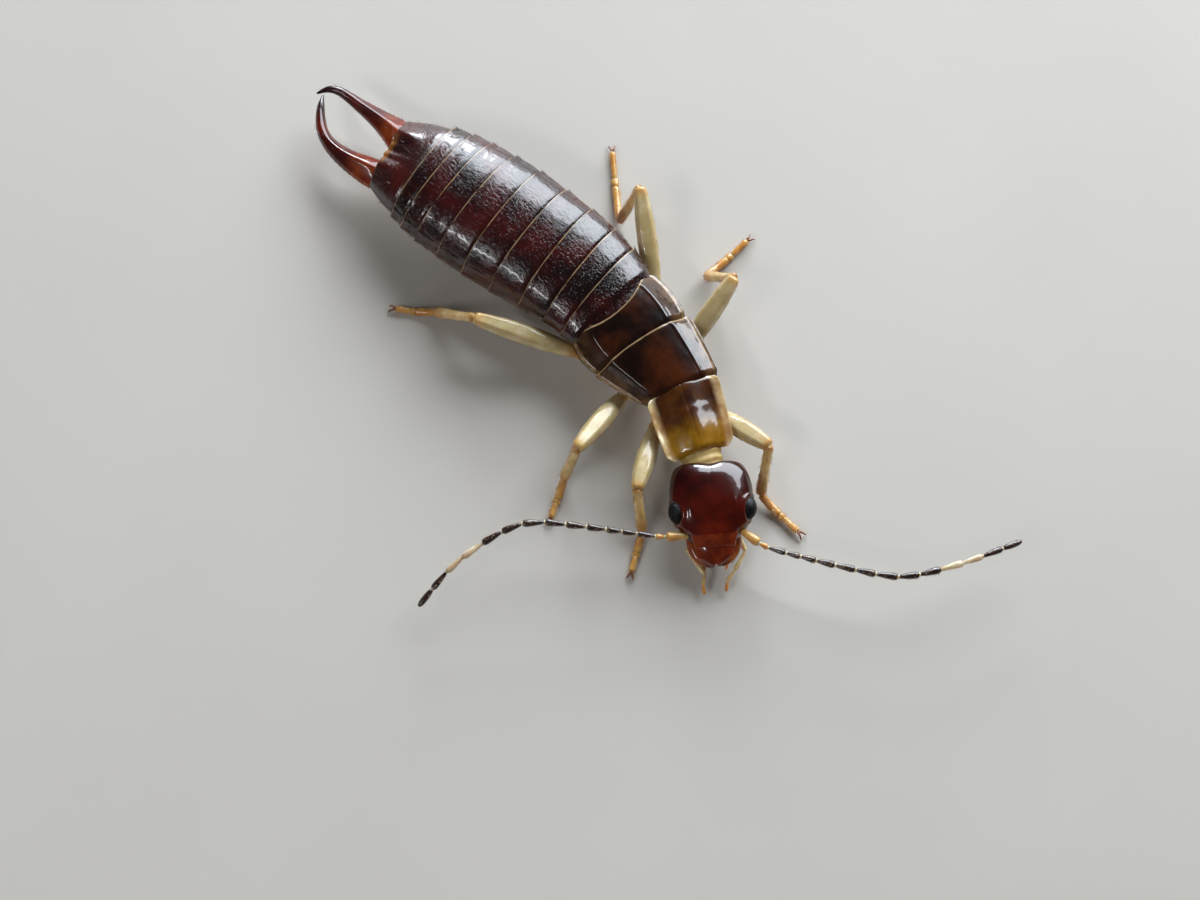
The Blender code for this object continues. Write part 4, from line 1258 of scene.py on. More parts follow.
def build_face_plate(plate, columns=40, rows_count=22):
    """Lay one plate of the face in the head's frame."""
    rows, marks = [], []
    for row in range(rows_count + 1):
        share = row / rows_count
        tip = max(0.0, (share - 0.35) / 0.65) * plate.rounding
        half = mix(plate.half_start, plate.half_end, share) * math.sqrt(1.0 - 0.93 * tip ** 2.6)
        arch = mix(plate.arch_start, plate.arch_end, share)
        points = []
        for side in np.linspace(-1.0, 1.0, columns + 1):
            forward = mix(plate.start, plate.end, share)
            forward -= plate.notch * math.exp(-(side / 0.25) ** 2) * share ** 4
            bulge = 0.040 * math.sin(math.pi * share ** 0.8)
            height = mix(plate.top_start, plate.top_end, share ** 0.9) + bulge - arch * abs(side) ** 2.4
            points.append(Vector((side * half, -forward, height)))
        rows.append(points)
        marks.append(share)
    shield = lay_sheet(plate.name, rows, marks)
    crinkle(shield, 0.006, 0.22)
    thicken(shield, FACE_WALL)
    return on_head(shield)


for plate in FACE_PLATES:
    settle(build_face_plate(plate), "head_shell", FINISH["clypeus"])

# %% [markdown]
# ## Jaws and palps
# The mandibles close under the upper lip, the left one over the right. The long palps have five
# joints each and the short ones of the lower lip have three. A joint is one bead, shaped once and
# copied along the line of the limb with its own length and width.

# %% Beads, the joints of palps and feelers
BEAD_SIDES = 16
BEAD_FORMS = {
    "cone": ((0.0, 0.40), (0.05, 0.50), (0.25, 0.70), (0.55, 0.90), (0.80, 1.0), (0.92, 0.93), (0.98, 0.70), (1.0, 0.42)),
    "club": ((0.0, 0.48), (0.04, 0.62), (0.12, 0.58), (0.35, 0.72), (0.70, 0.95), (0.90, 1.0), (0.97, 0.84), (1.0, 0.50)),
    "spindle": ((0.0, 0.50), (0.06, 0.72), (0.30, 0.95), (0.60, 1.0), (0.85, 0.86), (0.96, 0.50), (1.0, 0.16)),
    "ring": ((0.0, 0.55), (0.15, 0.90), (0.5, 1.0), (0.85, 0.90), (1.0, 0.55)),
}


def build_bead(kind):
    """Extrude one bead of length 1 and radius 1 up the z axis."""
    rings = []
    for height, radius in BEAD_FORMS[kind]:
        turns = [2.0 * math.pi * step / BEAD_SIDES for step in range(BEAD_SIDES)]
        rings.append([Vector((radius * math.cos(turn), radius * math.sin(turn), height)) for turn in turns])
    bead = draw_out("bead_" + kind, rings, [height for height, radius in BEAD_FORMS[kind]])
    soften(bead)
    return bead


BEADS = {kind: build_bead(kind) for kind in BEAD_FORMS}


def thread_bead(kind, start, end, radius):
    """Copy a bead with its own mesh, stretched from start to end."""
    bead = BEADS[kind].copy()
    bead.data = BEADS[kind].data.copy()
    bpy.context.scene.collection.objects.link(bead)
    way = end - start
    turn = way.to_track_quat("Z", "Y").to_matrix().to_4x4()
    stretch = Matrix.Diagonal((radius, radius, way.length, 1.0))
    bead.data.transform(Matrix.Translation(start) @ turn @ stretch)
    return bead


# %% Mandibles
# Forward, side, height, half width and half height, from the hinge to the tip.
MANDIBLE = (
    (1.26, 0.43, 0.53, 0.11, 0.11), (1.42, 0.47, 0.53, 0.155, 0.15), (1.66, 0.46, 0.54, 0.165, 0.15),
    (1.88, 0.39, 0.54, 0.150, 0.12), (2.03, 0.28, 0.53, 0.110, 0.09), (2.12, 0.15, 0.52, 0.065, 0.06),
    (2.15, 0.03, 0.51, 0.020, 0.025),
)
TOOTH = ((1.98, 0.20, 0.52), (2.06, 0.06, 0.52))
MANDIBLE_LIFT = 0.028         # the left jaw lies over the right one
SHORT_PALP = ((1.58, 0.13, 0.40), (1.74, 0.23, 0.35), (1.94, 0.29, 0.28), (2.18, 0.24, 0.21))
LONG_PALPS = {
    "right": ((1.18, 0.36, 0.42), (1.40, 0.50, 0.38), (1.77, 0.59, 0.35), (2.27, 0.25, 0.30), (2.46, 0.31, 0.25), (2.72, 0.30, 0.15)),
    "left": ((1.18, 0.36, 0.42), (1.46, 0.60, 0.42), (1.82, 0.70, 0.35), (2.23, 0.43, 0.30), (2.46, 0.24, 0.24), (2.68, 0.20, 0.15)),
}


def tube_rings(rows, count, sides, sign=1.0):
    """Rings round a smooth path given as forward, side, height and two half sizes."""
    path = smooth_rows(rows, count)
    places = [Vector((row[1] * sign, -row[0], row[2])) for row in path]
    rings = []
    for row, place, (along, side, up) in zip(path, places, frames_along(places)):
        ring = []
        for step in range(sides):
            turn = 2.0 * math.pi * step / sides
            ring.append(place + side * (row[3] * math.cos(turn)) + up * (row[4] * math.sin(turn)))
        rings.append(ring)
    return rings


def build_mandible(side_name, sign):
    """Extrude a jaw and give it a second tooth."""
    lift = MANDIBLE_LIFT * sign
    jaw = draw_out("jaw", tube_rings(MANDIBLE, 22, 16, sign))
    root, tip = (Vector((side * sign, -forward, height)) for forward, side, height in TOOTH)
    tooth = thread_bead("spindle", root, tip, 0.055)
    jaw = merge_pieces("jaw_" + side_name, [jaw, tooth])
    soften(jaw)
    jaw.data.transform(Matrix.Translation((0.0, 0.0, lift)))
    return on_head(jaw)


def build_palp(name, joints, sign, radii, kinds):
    """Thread the joints of a palp from its root to its tip."""
    places = [Vector((side * sign, -forward, height)) for forward, side, height in joints]
    beads = [
        thread_bead(kind, start, end, radius)
        for kind, start, end, radius in zip(kinds, places, places[1:], radii)
    ]
    palp = merge_pieces(name, beads)
    shares = np.repeat(np.arange(len(beads)), [len(bead_mesh) for bead_mesh in [BEADS[kind].data.vertices for kind in kinds]])
    old = np.empty(len(palp.data.vertices), dtype=np.float32)
    palp.data.attributes["along"].data.foreach_get("value", old)
    palp.data.attributes["along"].data.foreach_set("value", ((shares + old) / len(beads)).astype(np.float32))
    return on_head(palp)


for side_name, sign in (("left", 1.0), ("right", -1.0)):
    settle(build_mandible(side_name, sign), "jaw", FINISH["jaw"], "mandible_" + side_name)
    long_palp = build_palp(
        "long_palp_" + side_name, LONG_PALPS[side_name], sign,
        (0.060, 0.060, 0.058, 0.052, 0.046), ("cone", "cone", "cone", "cone", "spindle"),
    )
    settle(long_palp, "palp", FINISH["palp"], "palp_" + side_name)
    short_palp = build_palp("short_palp_" + side_name, SHORT_PALP, sign, (0.044, 0.044, 0.040), ("cone", "cone", "spindle"))
    settle(short_palp, "palp", FINISH["palp"])

# %% [markdown]
# ## Under the head
# From below one sees the throat plate and the lower lip with its two small lobes. They are the same
# kind of convex plate as the face, laid the other way up.

# %% Throat plate and lower lip
def build_lower_plate(name, start, end, half_start, half_end, drop_start, drop_end, columns=28, rows_count=18):
    """Lay a plate under the head in its own frame."""
    rows, marks = [], []
    for row in range(rows_count + 1):
        share = row / rows_count
        half = mix(half_start, half_end, share) * (1.0 - 0.5 * share ** 9 - 0.3 * (1.0 - share) ** 9)
        points = []
        for side in np.linspace(-1.0, 1.0, columns + 1):
            height = mix(drop_start, drop_end, share) + 0.07 * abs(side) ** 2.2 - 0.02 * math.sin(math.pi * share)
            points.append(Vector((side * half, -mix(start, end, share), height)))
        rows.append(points)
        marks.append(share)
    plate = lay_sheet(name, rows, marks)
    crinkle(plate, 0.006, 0.14)
    thicken(plate, 0.05)
    return on_head(plate)


settle(build_lower_plate("throat_plate", 0.10, 1.02, 0.34, 0.30, 0.465, 0.425), "head_shell", FINISH["clypeus"])
settle(build_lower_plate("chin_plate", 1.00, 1.56, 0.36, 0.25, 0.425, 0.425), "head_shell", FINISH["clypeus"])
lobes = [
    on_head(draw_out("lobe", tube_rings(
        ((1.50, 0.09, 0.43, 0.07, 0.045), (1.66, 0.10, 0.42, 0.085, 0.05), (1.84, 0.09, 0.40, 0.07, 0.04),
         (1.93, 0.08, 0.39, 0.03, 0.02)), 10, 12, sign)))
    for sign in (1.0, -1.0)
]
lower_lip = merge_pieces("lower_lip", lobes)
soften(lower_lip)
settle(lower_lip, "jaw", FINISH["palp"])
maxillae = [
    on_head(draw_out("maxilla", tube_rings(
        ((1.22, 0.24, 0.46, 0.06, 0.04), (1.50, 0.27, 0.47, 0.075, 0.05), (1.80, 0.22, 0.47, 0.055, 0.04),
         (1.98, 0.10, 0.46, 0.015, 0.015)), 14, 12, sign)))
    for sign in (1.0, -1.0)
]
maxilla_pair = merge_pieces("maxillae", maxillae)
soften(maxilla_pair)
settle(maxilla_pair, "jaw", FINISH["jaw"])

# %% [markdown]
# ## Neck
# The neck is soft, folded skin between head and first shield. Its rings stand in and out by turns,
# like the bellows of a camera, so that the head can move.

# %% The neck
NECK_RINGS = 26
NECK_FOLDS = 4.5


def build_neck():
    """Extrude the neck from inside the head to under the pronotum."""
    front = HEAD_FRAME @ Vector((0.0, -0.26, 0.86))
    rear = Vector((PRONOTUM_FRONT.x, PRONOTUM_FRONT.y, 0.86)) + heading_vector(PLATES[0].heading) * 0.25
    places = [front.lerp(rear, step / (NECK_RINGS - 1)) for step in range(NECK_RINGS)]
    rings = []
    for index, (along, side, up) in enumerate(frames_along(places)):
        share = index / (NECK_RINGS - 1)
        fold = 1.0 + 0.055 * math.sin(2.0 * math.pi * NECK_FOLDS * share)
        ring = []
        for step in range(32):
            turn = 2.0 * math.pi * step / 32
            wide = mix(0.40, 0.50, share) * fold * power_curve(math.cos(turn), 2.4)
            high = mix(0.26, 0.31, share) * fold * power_curve(math.sin(turn), 2.4)
            ring.append(places[index] + side * wide + up * high)
        rings.append(ring)
    neck = draw_out("neck_skin", rings)
    soften(neck)
    crinkle(neck, 0.008, 0.18)
    return neck


settle(build_neck(), "neck_skin", FINISH["neck"], "neck")

# %% [markdown]
# ## Feelers
# Each feeler has fifteen joints: a stout amber root joint, a short second one, a string of dark
# beads that grow longer, two pale beads near the end and two dark ones at the tip. Thin pale skin
# shows between the beads. The beads are threaded on one smooth line.

# %% Feelers
ANTENNA_JOINTS = (
    0.70, 0.22, 0.42, 0.33, 0.36, 0.43, 0.46, 0.46, 0.50, 0.48, 0.50, 0.54, 0.46, 0.50, 0.50,
)
ANTENNA_PATHS = {
    "right": (
        (0.32, -3.08, 0.78), (0.17, -2.99, 0.82), (-0.35, -2.67, 0.94), (-1.02, -2.03, 1.08),
        (-1.75, -1.33, 1.20), (-2.37, -0.75, 1.22), (-2.81, -0.52, 1.20), (-3.48, -0.37, 1.08),
        (-4.47, -0.32, 0.86), (-5.57, -0.53, 0.58),
    ),
    "left": (
        (1.15, -3.48, 0.78), (1.22, -3.63, 0.81), (1.34, -4.26, 0.93), (1.86, -5.04, 1.04),
        (2.57, -5.97, 1.10), (3.22, -6.68, 1.10), (3.99, -7.08, 1.08), (4.89, -7.41, 1.02),
        (5.96, -7.72, 0.94),
    ),
}
ROOT_RADIUS = 0.115
BEAD_RADIUS = 0.088
FIRST_BEAD_RADIUS = 0.072
PALE_JOINTS = (11, 12)
SKIN_GAP = 0.028              # mm of pale skin between two beads


def place_on(curve, distance):
    """Place at a distance along a line of close points."""
    for start, end in zip(curve, curve[1:]):
        length = (end - start).length
        if distance <= length:
            return start.lerp(end, distance / length)
        distance -= length
    return curve[-1].copy()


def build_feeler(side_name):
    """Thread one feeler and return its pieces by finish."""
    curve = [Vector(row) for row in smooth_rows(ANTENNA_PATHS[side_name], 240)]
    total = sum((end - start).length for start, end in zip(curve, curve[1:]))
    scale = total / sum(ANTENNA_JOINTS)
    groups = {"scape": [], "flagellum": [], "pale_joint": [], "membrane": []}
    distance = 0.0
    for number, joint in enumerate(ANTENNA_JOINTS):
        start = place_on(curve, distance + SKIN_GAP / 2.0)
        end = place_on(curve, distance + joint * scale - SKIN_GAP / 2.0)
        if number < 2:
            kind, radius, group = ("club", ROOT_RADIUS, "scape") if number == 0 else ("cone", FIRST_BEAD_RADIUS, "scape")
        else:
            kind = "spindle" if number == len(ANTENNA_JOINTS) - 1 else "cone"
            radius = mix(FIRST_BEAD_RADIUS, BEAD_RADIUS, ease((number - 2) / 4.0))
            radius *= 1.0 - 0.12 * ease((number - 10) / 4.0)
            group = "pale_joint" if number in PALE_JOINTS else "flagellum"
        groups[group].append(thread_bead(kind, start, end, radius))
        if number:
            skin_start = place_on(curve, distance - SKIN_GAP)
            skin_end = place_on(curve, distance + SKIN_GAP)
            groups["membrane"].append(thread_bead("ring", skin_start, skin_end, radius * 0.66))
        distance += joint * scale
    return {group: merge_pieces("feeler_" + side_name + "_" + group, beads) for group, beads in groups.items()}


FEELERS = []
for side_name in ANTENNA_PATHS:
    for group, beads in build_feeler(side_name).items():
        nodes = ["antenna_" + side_name] if group == "flagellum" else []
        FEELERS.append(settle(beads, "antenna", FINISH["pale_joint" if group == "membrane" else group], *nodes))
    start_fresh()
    sign = 1.0 if side_name == "left" else -1.0
    place = HEAD_FRAME @ Vector((SOCKET_PLACE.x * sign, SOCKET_PLACE.y, SOCKET_PLACE.z))
    way = Vector(ANTENNA_PATHS[side_name][2]) - Vector(ANTENNA_PATHS[side_name][0])
    bpy.ops.mesh.primitive_torus_add(major_segments=40, minor_segments=12, major_radius=0.125, minor_radius=0.026)
    socket = bpy.context.object
    socket.name = socket.data.name = "feeler_socket_" + side_name
    crinkle(socket, 0.01, 0.10)
    socket.data.transform(Matrix.Translation(place) @ way.to_track_quat("Z", "Y").to_matrix().to_4x4())
    settle(socket, "head_shell", FINISH["head"])

# %% [markdown]
# ## Legs
# A leg has a stout coxa in its socket, a small ring joint, a swollen pale thigh with two ridges
# toward the knee, a slim shin and a foot of three joints with two claws. Every length comes from
# the same joint places as in the part's source, and one set of stations shapes all six.

# %% Leg measures
Leg = namedtuple("Leg", "hip trochanter knee ankle toe")
LEGS = {
    "left_front": Leg(
        (2.24, -0.80, 0.64), (2.52, -1.04, 0.54), (2.86, -2.54, 1.12), (2.18, -3.16, 0.32), (2.34, -4.33),
    ),
    "left_middle": Leg(
        (2.46, 0.40, 0.64), (2.90, 0.54, 0.54), (4.72, 1.02, 1.42), (4.56, 1.78, 0.32), (5.92, 1.91),
    ),
    "left_hind": Leg(
        (2.50, 1.60, 0.62), (3.18, 1.96, 0.46), (4.40, 4.12, 1.42), (3.80, 4.13, 0.32), (4.82, 5.69),
    ),
    "right_front": Leg(
        (1.60, -0.56, 0.64), (1.26, -0.46, 0.54), (-0.10, -1.48, 1.02), (-0.47, -2.16, 0.32), (-1.22, -2.73),
    ),
    "right_middle": Leg(
        (1.60, 0.40, 0.64), (1.18, 0.58, 0.54), (-0.62, 0.05, 1.26), (-1.12, -0.09, 0.32), (-1.89, -0.60),
    ),
    "right_hind": Leg(
        (1.54, 1.66, 0.64), (0.98, 2.02, 0.50), (-0.56, 3.96, 1.28), (-0.99, 4.97, 0.32), (-1.66, 5.66),
    ),
}
# Share of the length with half width and half height there.
COXA_FORM = ((0.0, 0.24, 0.22), (0.35, 0.255, 0.24), (0.75, 0.22, 0.21), (0.95, 0.17, 0.17), (1.0, 0.12, 0.12))
FEMUR_FORM = (
    (0.0, 0.10, 0.10), (0.03, 0.145, 0.14), (0.12, 0.190, 0.17), (0.30, 0.230, 0.20), (0.50, 0.243, 0.205),
    (0.70, 0.228, 0.185), (0.85, 0.192, 0.160), (0.93, 0.168, 0.145), (0.975, 0.150, 0.135), (1.0, 0.105, 0.100),
)
TIBIA_FORM = (
    (0.0, 0.075, 0.075), (0.04, 0.110, 0.105), (0.10, 0.118, 0.112), (0.20, 0.108, 0.100), (0.55, 0.112, 0.105),
    (0.85, 0.128, 0.115), (0.96, 0.120, 0.110), (1.0, 0.080, 0.080),
)
# Each foot joint: share of the foot's length, height of its middle, half width and half height.
FOOT_JOINTS = (
    ((0.0, 0.25, 0.070, 0.070), (0.06, 0.22, 0.088, 0.085), (0.24, 0.135, 0.090, 0.088), (0.42, 0.100, 0.096, 0.092),
     (0.49, 0.096, 0.088, 0.085), (0.515, 0.096, 0.055, 0.055)),
    ((0.505, 0.085, 0.050, 0.050), (0.54, 0.084, 0.085, 0.075), (0.60, 0.076, 0.100, 0.072), (0.635, 0.080, 0.055, 0.055)),
    ((0.62, 0.088, 0.045, 0.045), (0.67, 0.094, 0.066, 0.064), (0.85, 0.104, 0.074, 0.070), (0.96, 0.112, 0.080, 0.074),
     (1.0, 0.112, 0.050, 0.050)),
)
CLAW_PATH = ((-0.03, 0.0, 0.11, 0.034), (0.06, 0.030, 0.125, 0.032), (0.14, 0.062, 0.095, 0.024), (0.179, 0.082, 0.045, 0.014),
             (0.192, 0.088, 0.008, 0.003))
LIMB_SIDES = 28
RIDGE_HEIGHT = 0.032
RIDGE_TURN = math.radians(58.0)
ANKLE_DROP = 0.07             # the slim ankle lies lower than the thick one of the solids


def limb_rings(start, end, form, sides, ridges=0.0, bow=0.0):
    """Rings of a straight or slightly bowed limb, with two ridges on top where asked."""
    form = np.array(form)
    shares = np.linspace(0.0, 1.0, 26) ** 1.0
    shares = np.unique(np.concatenate([shares, form[:, 0]]))
    along = (end - start).normalized()
    side = along.cross(UP).normalized()
    up = side.cross(along)
    rings = []
    for share in shares:
        wide = np.interp(share, form[:, 0], form[:, 1])
        high = np.interp(share, form[:, 0], form[:, 2])
        middle = start.lerp(end, share) + up * (bow * math.sin(math.pi * share))
        ridge = ridges * ease((share - 0.30) / 0.3) * (1.0 - ease((share - 0.93) / 0.07))
        ring = []
        for step in range(sides):
            turn = 2.0 * math.pi * step / sides
            crest = 0.0
            for ridge_turn in (RIDGE_TURN, math.pi - RIDGE_TURN):
                crest += ridge * math.exp(-((turn - ridge_turn) / 0.17) ** 2)
            ring.append(middle + side * ((wide + crest) * math.cos(turn)) + up * ((high + crest) * math.sin(turn)))
        rings.append(ring)
    return rings, list(shares)


# %% Leg builders
def build_limb(name, start, end, form, ridges=0.0, bow=0.0):
    """Extrude one joint of a leg."""
    rings, shares = limb_rings(start, end, form, LIMB_SIDES, ridges, bow)
    limb = draw_out(name, rings, shares)
    soften(limb)
    return limb


def build_foot(name, ankle, toe):
    """Extrude the three joints of a foot along the floor."""
    flat = Vector((toe[0] - ankle.x, toe[1] - ankle.y, 0.0))
    way = flat.normalized()
    side = way.cross(UP)
    joints = []
    for rows in FOOT_JOINTS:
        path = smooth_rows(rows, 14)
        rings = []
        for share, height, wide, high in path:
            middle = Vector((ankle.x, ankle.y, 0.0)) + flat * share + UP * height
            turns = [2.0 * math.pi * step / 20 for step in range(20)]
            rings.append([middle + side * (wide * math.cos(turn)) + UP * (high * math.sin(turn)) for turn in turns])
        joints.append(draw_out("foot_joint", rings))
    foot = merge_pieces(name, joints)
    soften(foot)
    return foot


def build_claws(name, ankle, toe):
    """Bend two small hooks down from the tip of a foot."""
    way = Vector((toe[0] - ankle.x, toe[1] - ankle.y, 0.0)).normalized()
    side = way.cross(UP)
    hooks = []
    for sign in (1.0, -1.0):
        rows = smooth_rows(CLAW_PATH, 14)
        places = [Vector((toe[0], toe[1], 0.0)) + way * row[0] + side * (row[1] * sign) + UP * row[2] for row in rows]
        rings = []
        for row, place, (along, across, up) in zip(rows, places, frames_along(places)):
            turns = [2.0 * math.pi * step / 12 for step in range(12)]
            rings.append([place + across * (row[3] * 0.8 * math.cos(turn)) + up * (row[3] * math.sin(turn)) for turn in turns])
        hooks.append(draw_out("hook", rings))
    return merge_pieces(name, hooks)


LEG_PIECES = {}


def build_leg(leg, joints):
    """Make and settle all the pieces of one leg."""
    hip, trochanter, knee, ankle = (Vector(place) for place in joints[:4])
    ankle.z -= ANKLE_DROP
    thigh = (knee - trochanter).normalized()
    shin = (ankle - knee).normalized()
    coxa = build_limb("hip_" + leg, hip - (trochanter - hip).normalized() * 0.10, trochanter, COXA_FORM)
    settle(coxa, "coxa", FINISH["coxa"], "coxa_" + leg)
    ring = thread_bead("ring", trochanter - thigh * 0.10, trochanter + thigh * 0.16, 0.165)
    ring.name = ring.data.name = "hip_ring_" + leg
    settle(ring, "coxa", FINISH["knee"])
    femur = build_limb("thigh_" + leg, trochanter + thigh * 0.06, knee + thigh * 0.02, FEMUR_FORM, RIDGE_HEIGHT, 0.03)
    settle(femur, "femur", FINISH["femur"], "femur_" + leg)
    hinge = thread_bead("ring", knee - thigh * 0.09, knee + shin * 0.07, 0.108)
    hinge.name = hinge.data.name = "knee_" + leg
    settle(hinge, "tibia", FINISH["knee"])
    tibia = build_limb("shin_" + leg, knee - shin * 0.02, ankle, TIBIA_FORM, 0.010, -0.02)
    settle(tibia, "tibia", FINISH["tibia"], "tibia_" + leg)
    foot = build_foot("foot_" + leg, ankle, joints.toe)
    settle(foot, "tarsus", FINISH["tarsus"], "tarsus_" + leg)
    claws = build_claws("claws_" + leg, ankle, joints.toe)
    settle(claws, "tarsus", FINISH["claw"])
    LEG_PIECES[leg] = (femur, tibia, foot)


for leg, joints in LEGS.items():
    build_leg(leg, joints)
for bead in BEADS.values():
    bpy.data.objects.remove(bead, do_unlink=True)

# %% [markdown]
# ## Bristles
# Fine golden bristles grow on the shins and feet, along the hind rims and sides of the rings, on
# the feelers and on the forceps. One bent, tapered bristle is extruded and repeated with a seeded
# random choice of faces, and each lies back toward the tip of its piece.

# %% One bristle
BRISTLE_RINGS = ((0.0, 1.0), (0.35, 0.85), (0.72, 0.50), (1.0, 0.12))
BRISTLE_SIDES = 4
BRISTLE_BEND = 0.22           # lean of the tip, in lengths


def build_bristle():
    """Extrude a straight bristle of length 1 and radius 1 along z."""
    turns = [2.0 * math.pi * step / BRISTLE_SIDES for step in range(BRISTLE_SIDES)]
    rings = [
        [Vector((radius * math.cos(turn), radius * math.sin(turn), height)) for turn in turns]
        for height, radius in BRISTLE_RINGS
    ]
    return draw_out("bristle", rings)


BRISTLE = build_bristle()
BRISTLE_POINTS = np.array([tuple(point.co) for point in BRISTLE.data.vertices])
BRISTLE_FACES = [tuple(face.vertices) for face in BRISTLE.data.polygons]
bpy.data.objects.remove(BRISTLE, do_unlink=True)

# %% Scattering
Growth = namedtuple("Growth", "host count length radius lift keep")
PATCH = 0.003                 # width of one bristle on the bake map
TILES = 6                     # hosts stand in rows of this many on the bake map
RANDOM = random.Random(11)
ROOM = 0.004                  # mm that a bristle keeps from the floor and the outer sizes
LOWEST, HIGHEST = (np.array(corner) / MM + np.array(CENTRE) for corner in CAD_BOX)


def long_axis(places):
    """Main direction of a cloud of places, from its root to its tip."""
    centred = places - places.mean(axis=0)
    return np.linalg.svd(centred[:: max(1, len(centred) // 800)], full_matrices=False)[2][0]


def plant(name, slot, finish, growths, axes):
    """Grow bristles on several hosts and join them into one piece."""
    points, faces, patches = [], [], []
    for tile, (growth, axis) in enumerate(zip(growths, axes)):
        mesh = growth.host.data
        places = np.empty(len(mesh.vertices) * 3)
        mesh.vertices.foreach_get("co", places)
        places = places.reshape(-1, 3) / MM + np.array(CENTRE)
        axis = np.array(axis if axis is not None else long_axis(places))
        middle = places.mean(axis=0)
        spread = (places - middle) @ axis
        start, reach = spread.min(), max(1e-6, spread.max() - spread.min())
        across = np.cross(axis, (0.0, 0.0, 1.0))
        across /= np.linalg.norm(across)
        over = np.cross(across, axis)
        areas = np.cumsum([face.area for face in mesh.polygons])
        grown, tries = 0, 0
        while grown < growth.count and tries < growth.count * 60:
            tries += 1
            index = int(np.searchsorted(areas, RANDOM.random() * areas[-1]))
            face = mesh.polygons[min(index, len(mesh.polygons) - 1)]
            root = np.array(face.center) / MM + np.array(CENTRE)
            normal = np.array(face.normal)
            level = ((root - middle) @ axis - start) / reach
            outward = root - middle - axis * ((root - middle) @ axis)
            turn = math.atan2(outward @ over, outward @ across)
            if outward @ normal <= 0.0 or abs(normal @ axis) > 0.7 or not growth.keep(level, turn, normal):
                continue
            jitter = np.array([RANDOM.uniform(-0.25, 0.25) for step in range(3)])
            stem = normal * math.sin(growth.lift) + axis * math.cos(growth.lift) + jitter
            stem -= normal * min(0.0, stem @ normal - 0.15)
            stem /= np.linalg.norm(stem)
            lean = axis - stem * (axis @ stem)
            lean /= max(1e-6, np.linalg.norm(lean))
            third = np.cross(stem, lean)
            length = growth.length * RANDOM.uniform(0.7, 1.2)
            sunk = root - normal * growth.radius
            wide, deep, height = BRISTLE_POINTS.T
            stalk = (
                sunk + np.outer(height * length, stem)
                + np.outer(wide * growth.radius + BRISTLE_BEND * height ** 2 * length, lean)
                + np.outer(deep * growth.radius, third)
            )
            if (stalk < LOWEST + ROOM).any() or (stalk > HIGHEST - ROOM).any():
                continue
            grown += 1
            base = len(points) * len(BRISTLE_POINTS)
            points.append(stalk)
            faces += [tuple(base + corner for corner in face_points) for face_points in BRISTLE_FACES]
            column, row = tile % TILES, tile // TILES
            patches.append((
                (column + 0.05 + 0.9 * (turn / (2.0 * math.pi) + 0.5)) / TILES,
                (row + 0.05 + 0.9 * level) / TILES,
            ))
    mesh = bpy.data.meshes.new(name)
    mesh.from_pydata(np.concatenate(points).tolist(), [], faces)
    piece = bpy.data.objects.new(name, mesh)
    bpy.context.scene.collection.objects.link(piece)
    layer = mesh.uv_layers.new(name="OFBake")
    corners = np.empty(len(mesh.loops), dtype=np.int32)
    mesh.loops.foreach_get("vertex_index", corners)
    owner = corners // len(BRISTLE_POINTS)
    local = BRISTLE_POINTS[corners % len(BRISTLE_POINTS)]
    spots = np.array(patches)[owner]
    spots += np.stack([local[:, 2] - 0.5, local[:, 1] * 0.4], axis=1) * PATCH
    layer.data.foreach_set("uv", spots.ravel().astype(np.float32))
    print(name, "bristles:", len(points))
    return settle(piece, slot, FINISH[finish])


# %% Where the bristles grow
def anywhere(level, turn, normal):
    """Bristles all round."""
    return True


def on_flanks(level, turn, normal):
    """Bristles on the sides and near the hind rim only."""
    return level > 0.55 and (abs(normal[2]) < 0.75 or level > 0.90)


def on_far_part(level, turn, normal):
    """Bristles on the outer two thirds."""
    return level > 0.3


for leg, (femur, tibia, foot) in LEG_PIECES.items():
    hip, trochanter, knee, ankle = (Vector(place) for place in LEGS[leg][:4])
    toe = Vector((*LEGS[leg].toe, ankle.z))
    plant("bristles_" + leg, "tarsus", "bristle", [
        Growth(femur, 34, 0.075, 0.0050, 0.50, on_far_part),
        Growth(tibia, 90, 0.110, 0.0055, 0.60, anywhere),
        Growth(foot, 80, 0.095, 0.0055, 0.60, anywhere),
    ], [(knee - trochanter).normalized(), (ankle - knee).normalized(), (toe - ankle).normalized()])
plant("bristles_abdomen", "abdomen_shell", "dark_bristle", [
    Growth(piece, 60, 0.11, 0.0045, 0.45, on_flanks) for piece in TERGITES.values()
], [heading_vector(PLATES[number].heading) for number in TERGITES])
plant("bristles_tail", "last_plate_shell", "dark_bristle", [
    Growth(LAST_RING, 50, 0.13, 0.0045, 0.50, on_far_part),
    Growth(BRANCHES["right"], 60, 0.10, 0.0045, 0.55, anywhere),
    Growth(BRANCHES["left"], 60, 0.10, 0.0045, 0.55, anywhere),
], [heading_vector(LAST.heading), heading_vector(-2.0), heading_vector(-12.0)])
for side_name, beads in (("right", FEELERS[:3]), ("left", FEELERS[4:7])):
    curve_ends = [Vector(ANTENNA_PATHS[side_name][0]), Vector(ANTENNA_PATHS[side_name][-1])]
    way = (curve_ends[1] - curve_ends[0]).normalized()
    plant("bristles_feeler_" + side_name, "antenna", "bristle", [
        Growth(piece, count, 0.060, 0.0040, 0.70, anywhere) for piece, count in zip(beads, (24, 220, 40))
    ], [way, way, way])

# %% [markdown]
# ## Floor, light and camera
# A plain pale floor and soft studio lamps let the horn show. The large lamp stands behind the
# animal's left side, so its shine lies along the left of the back as in the picture.

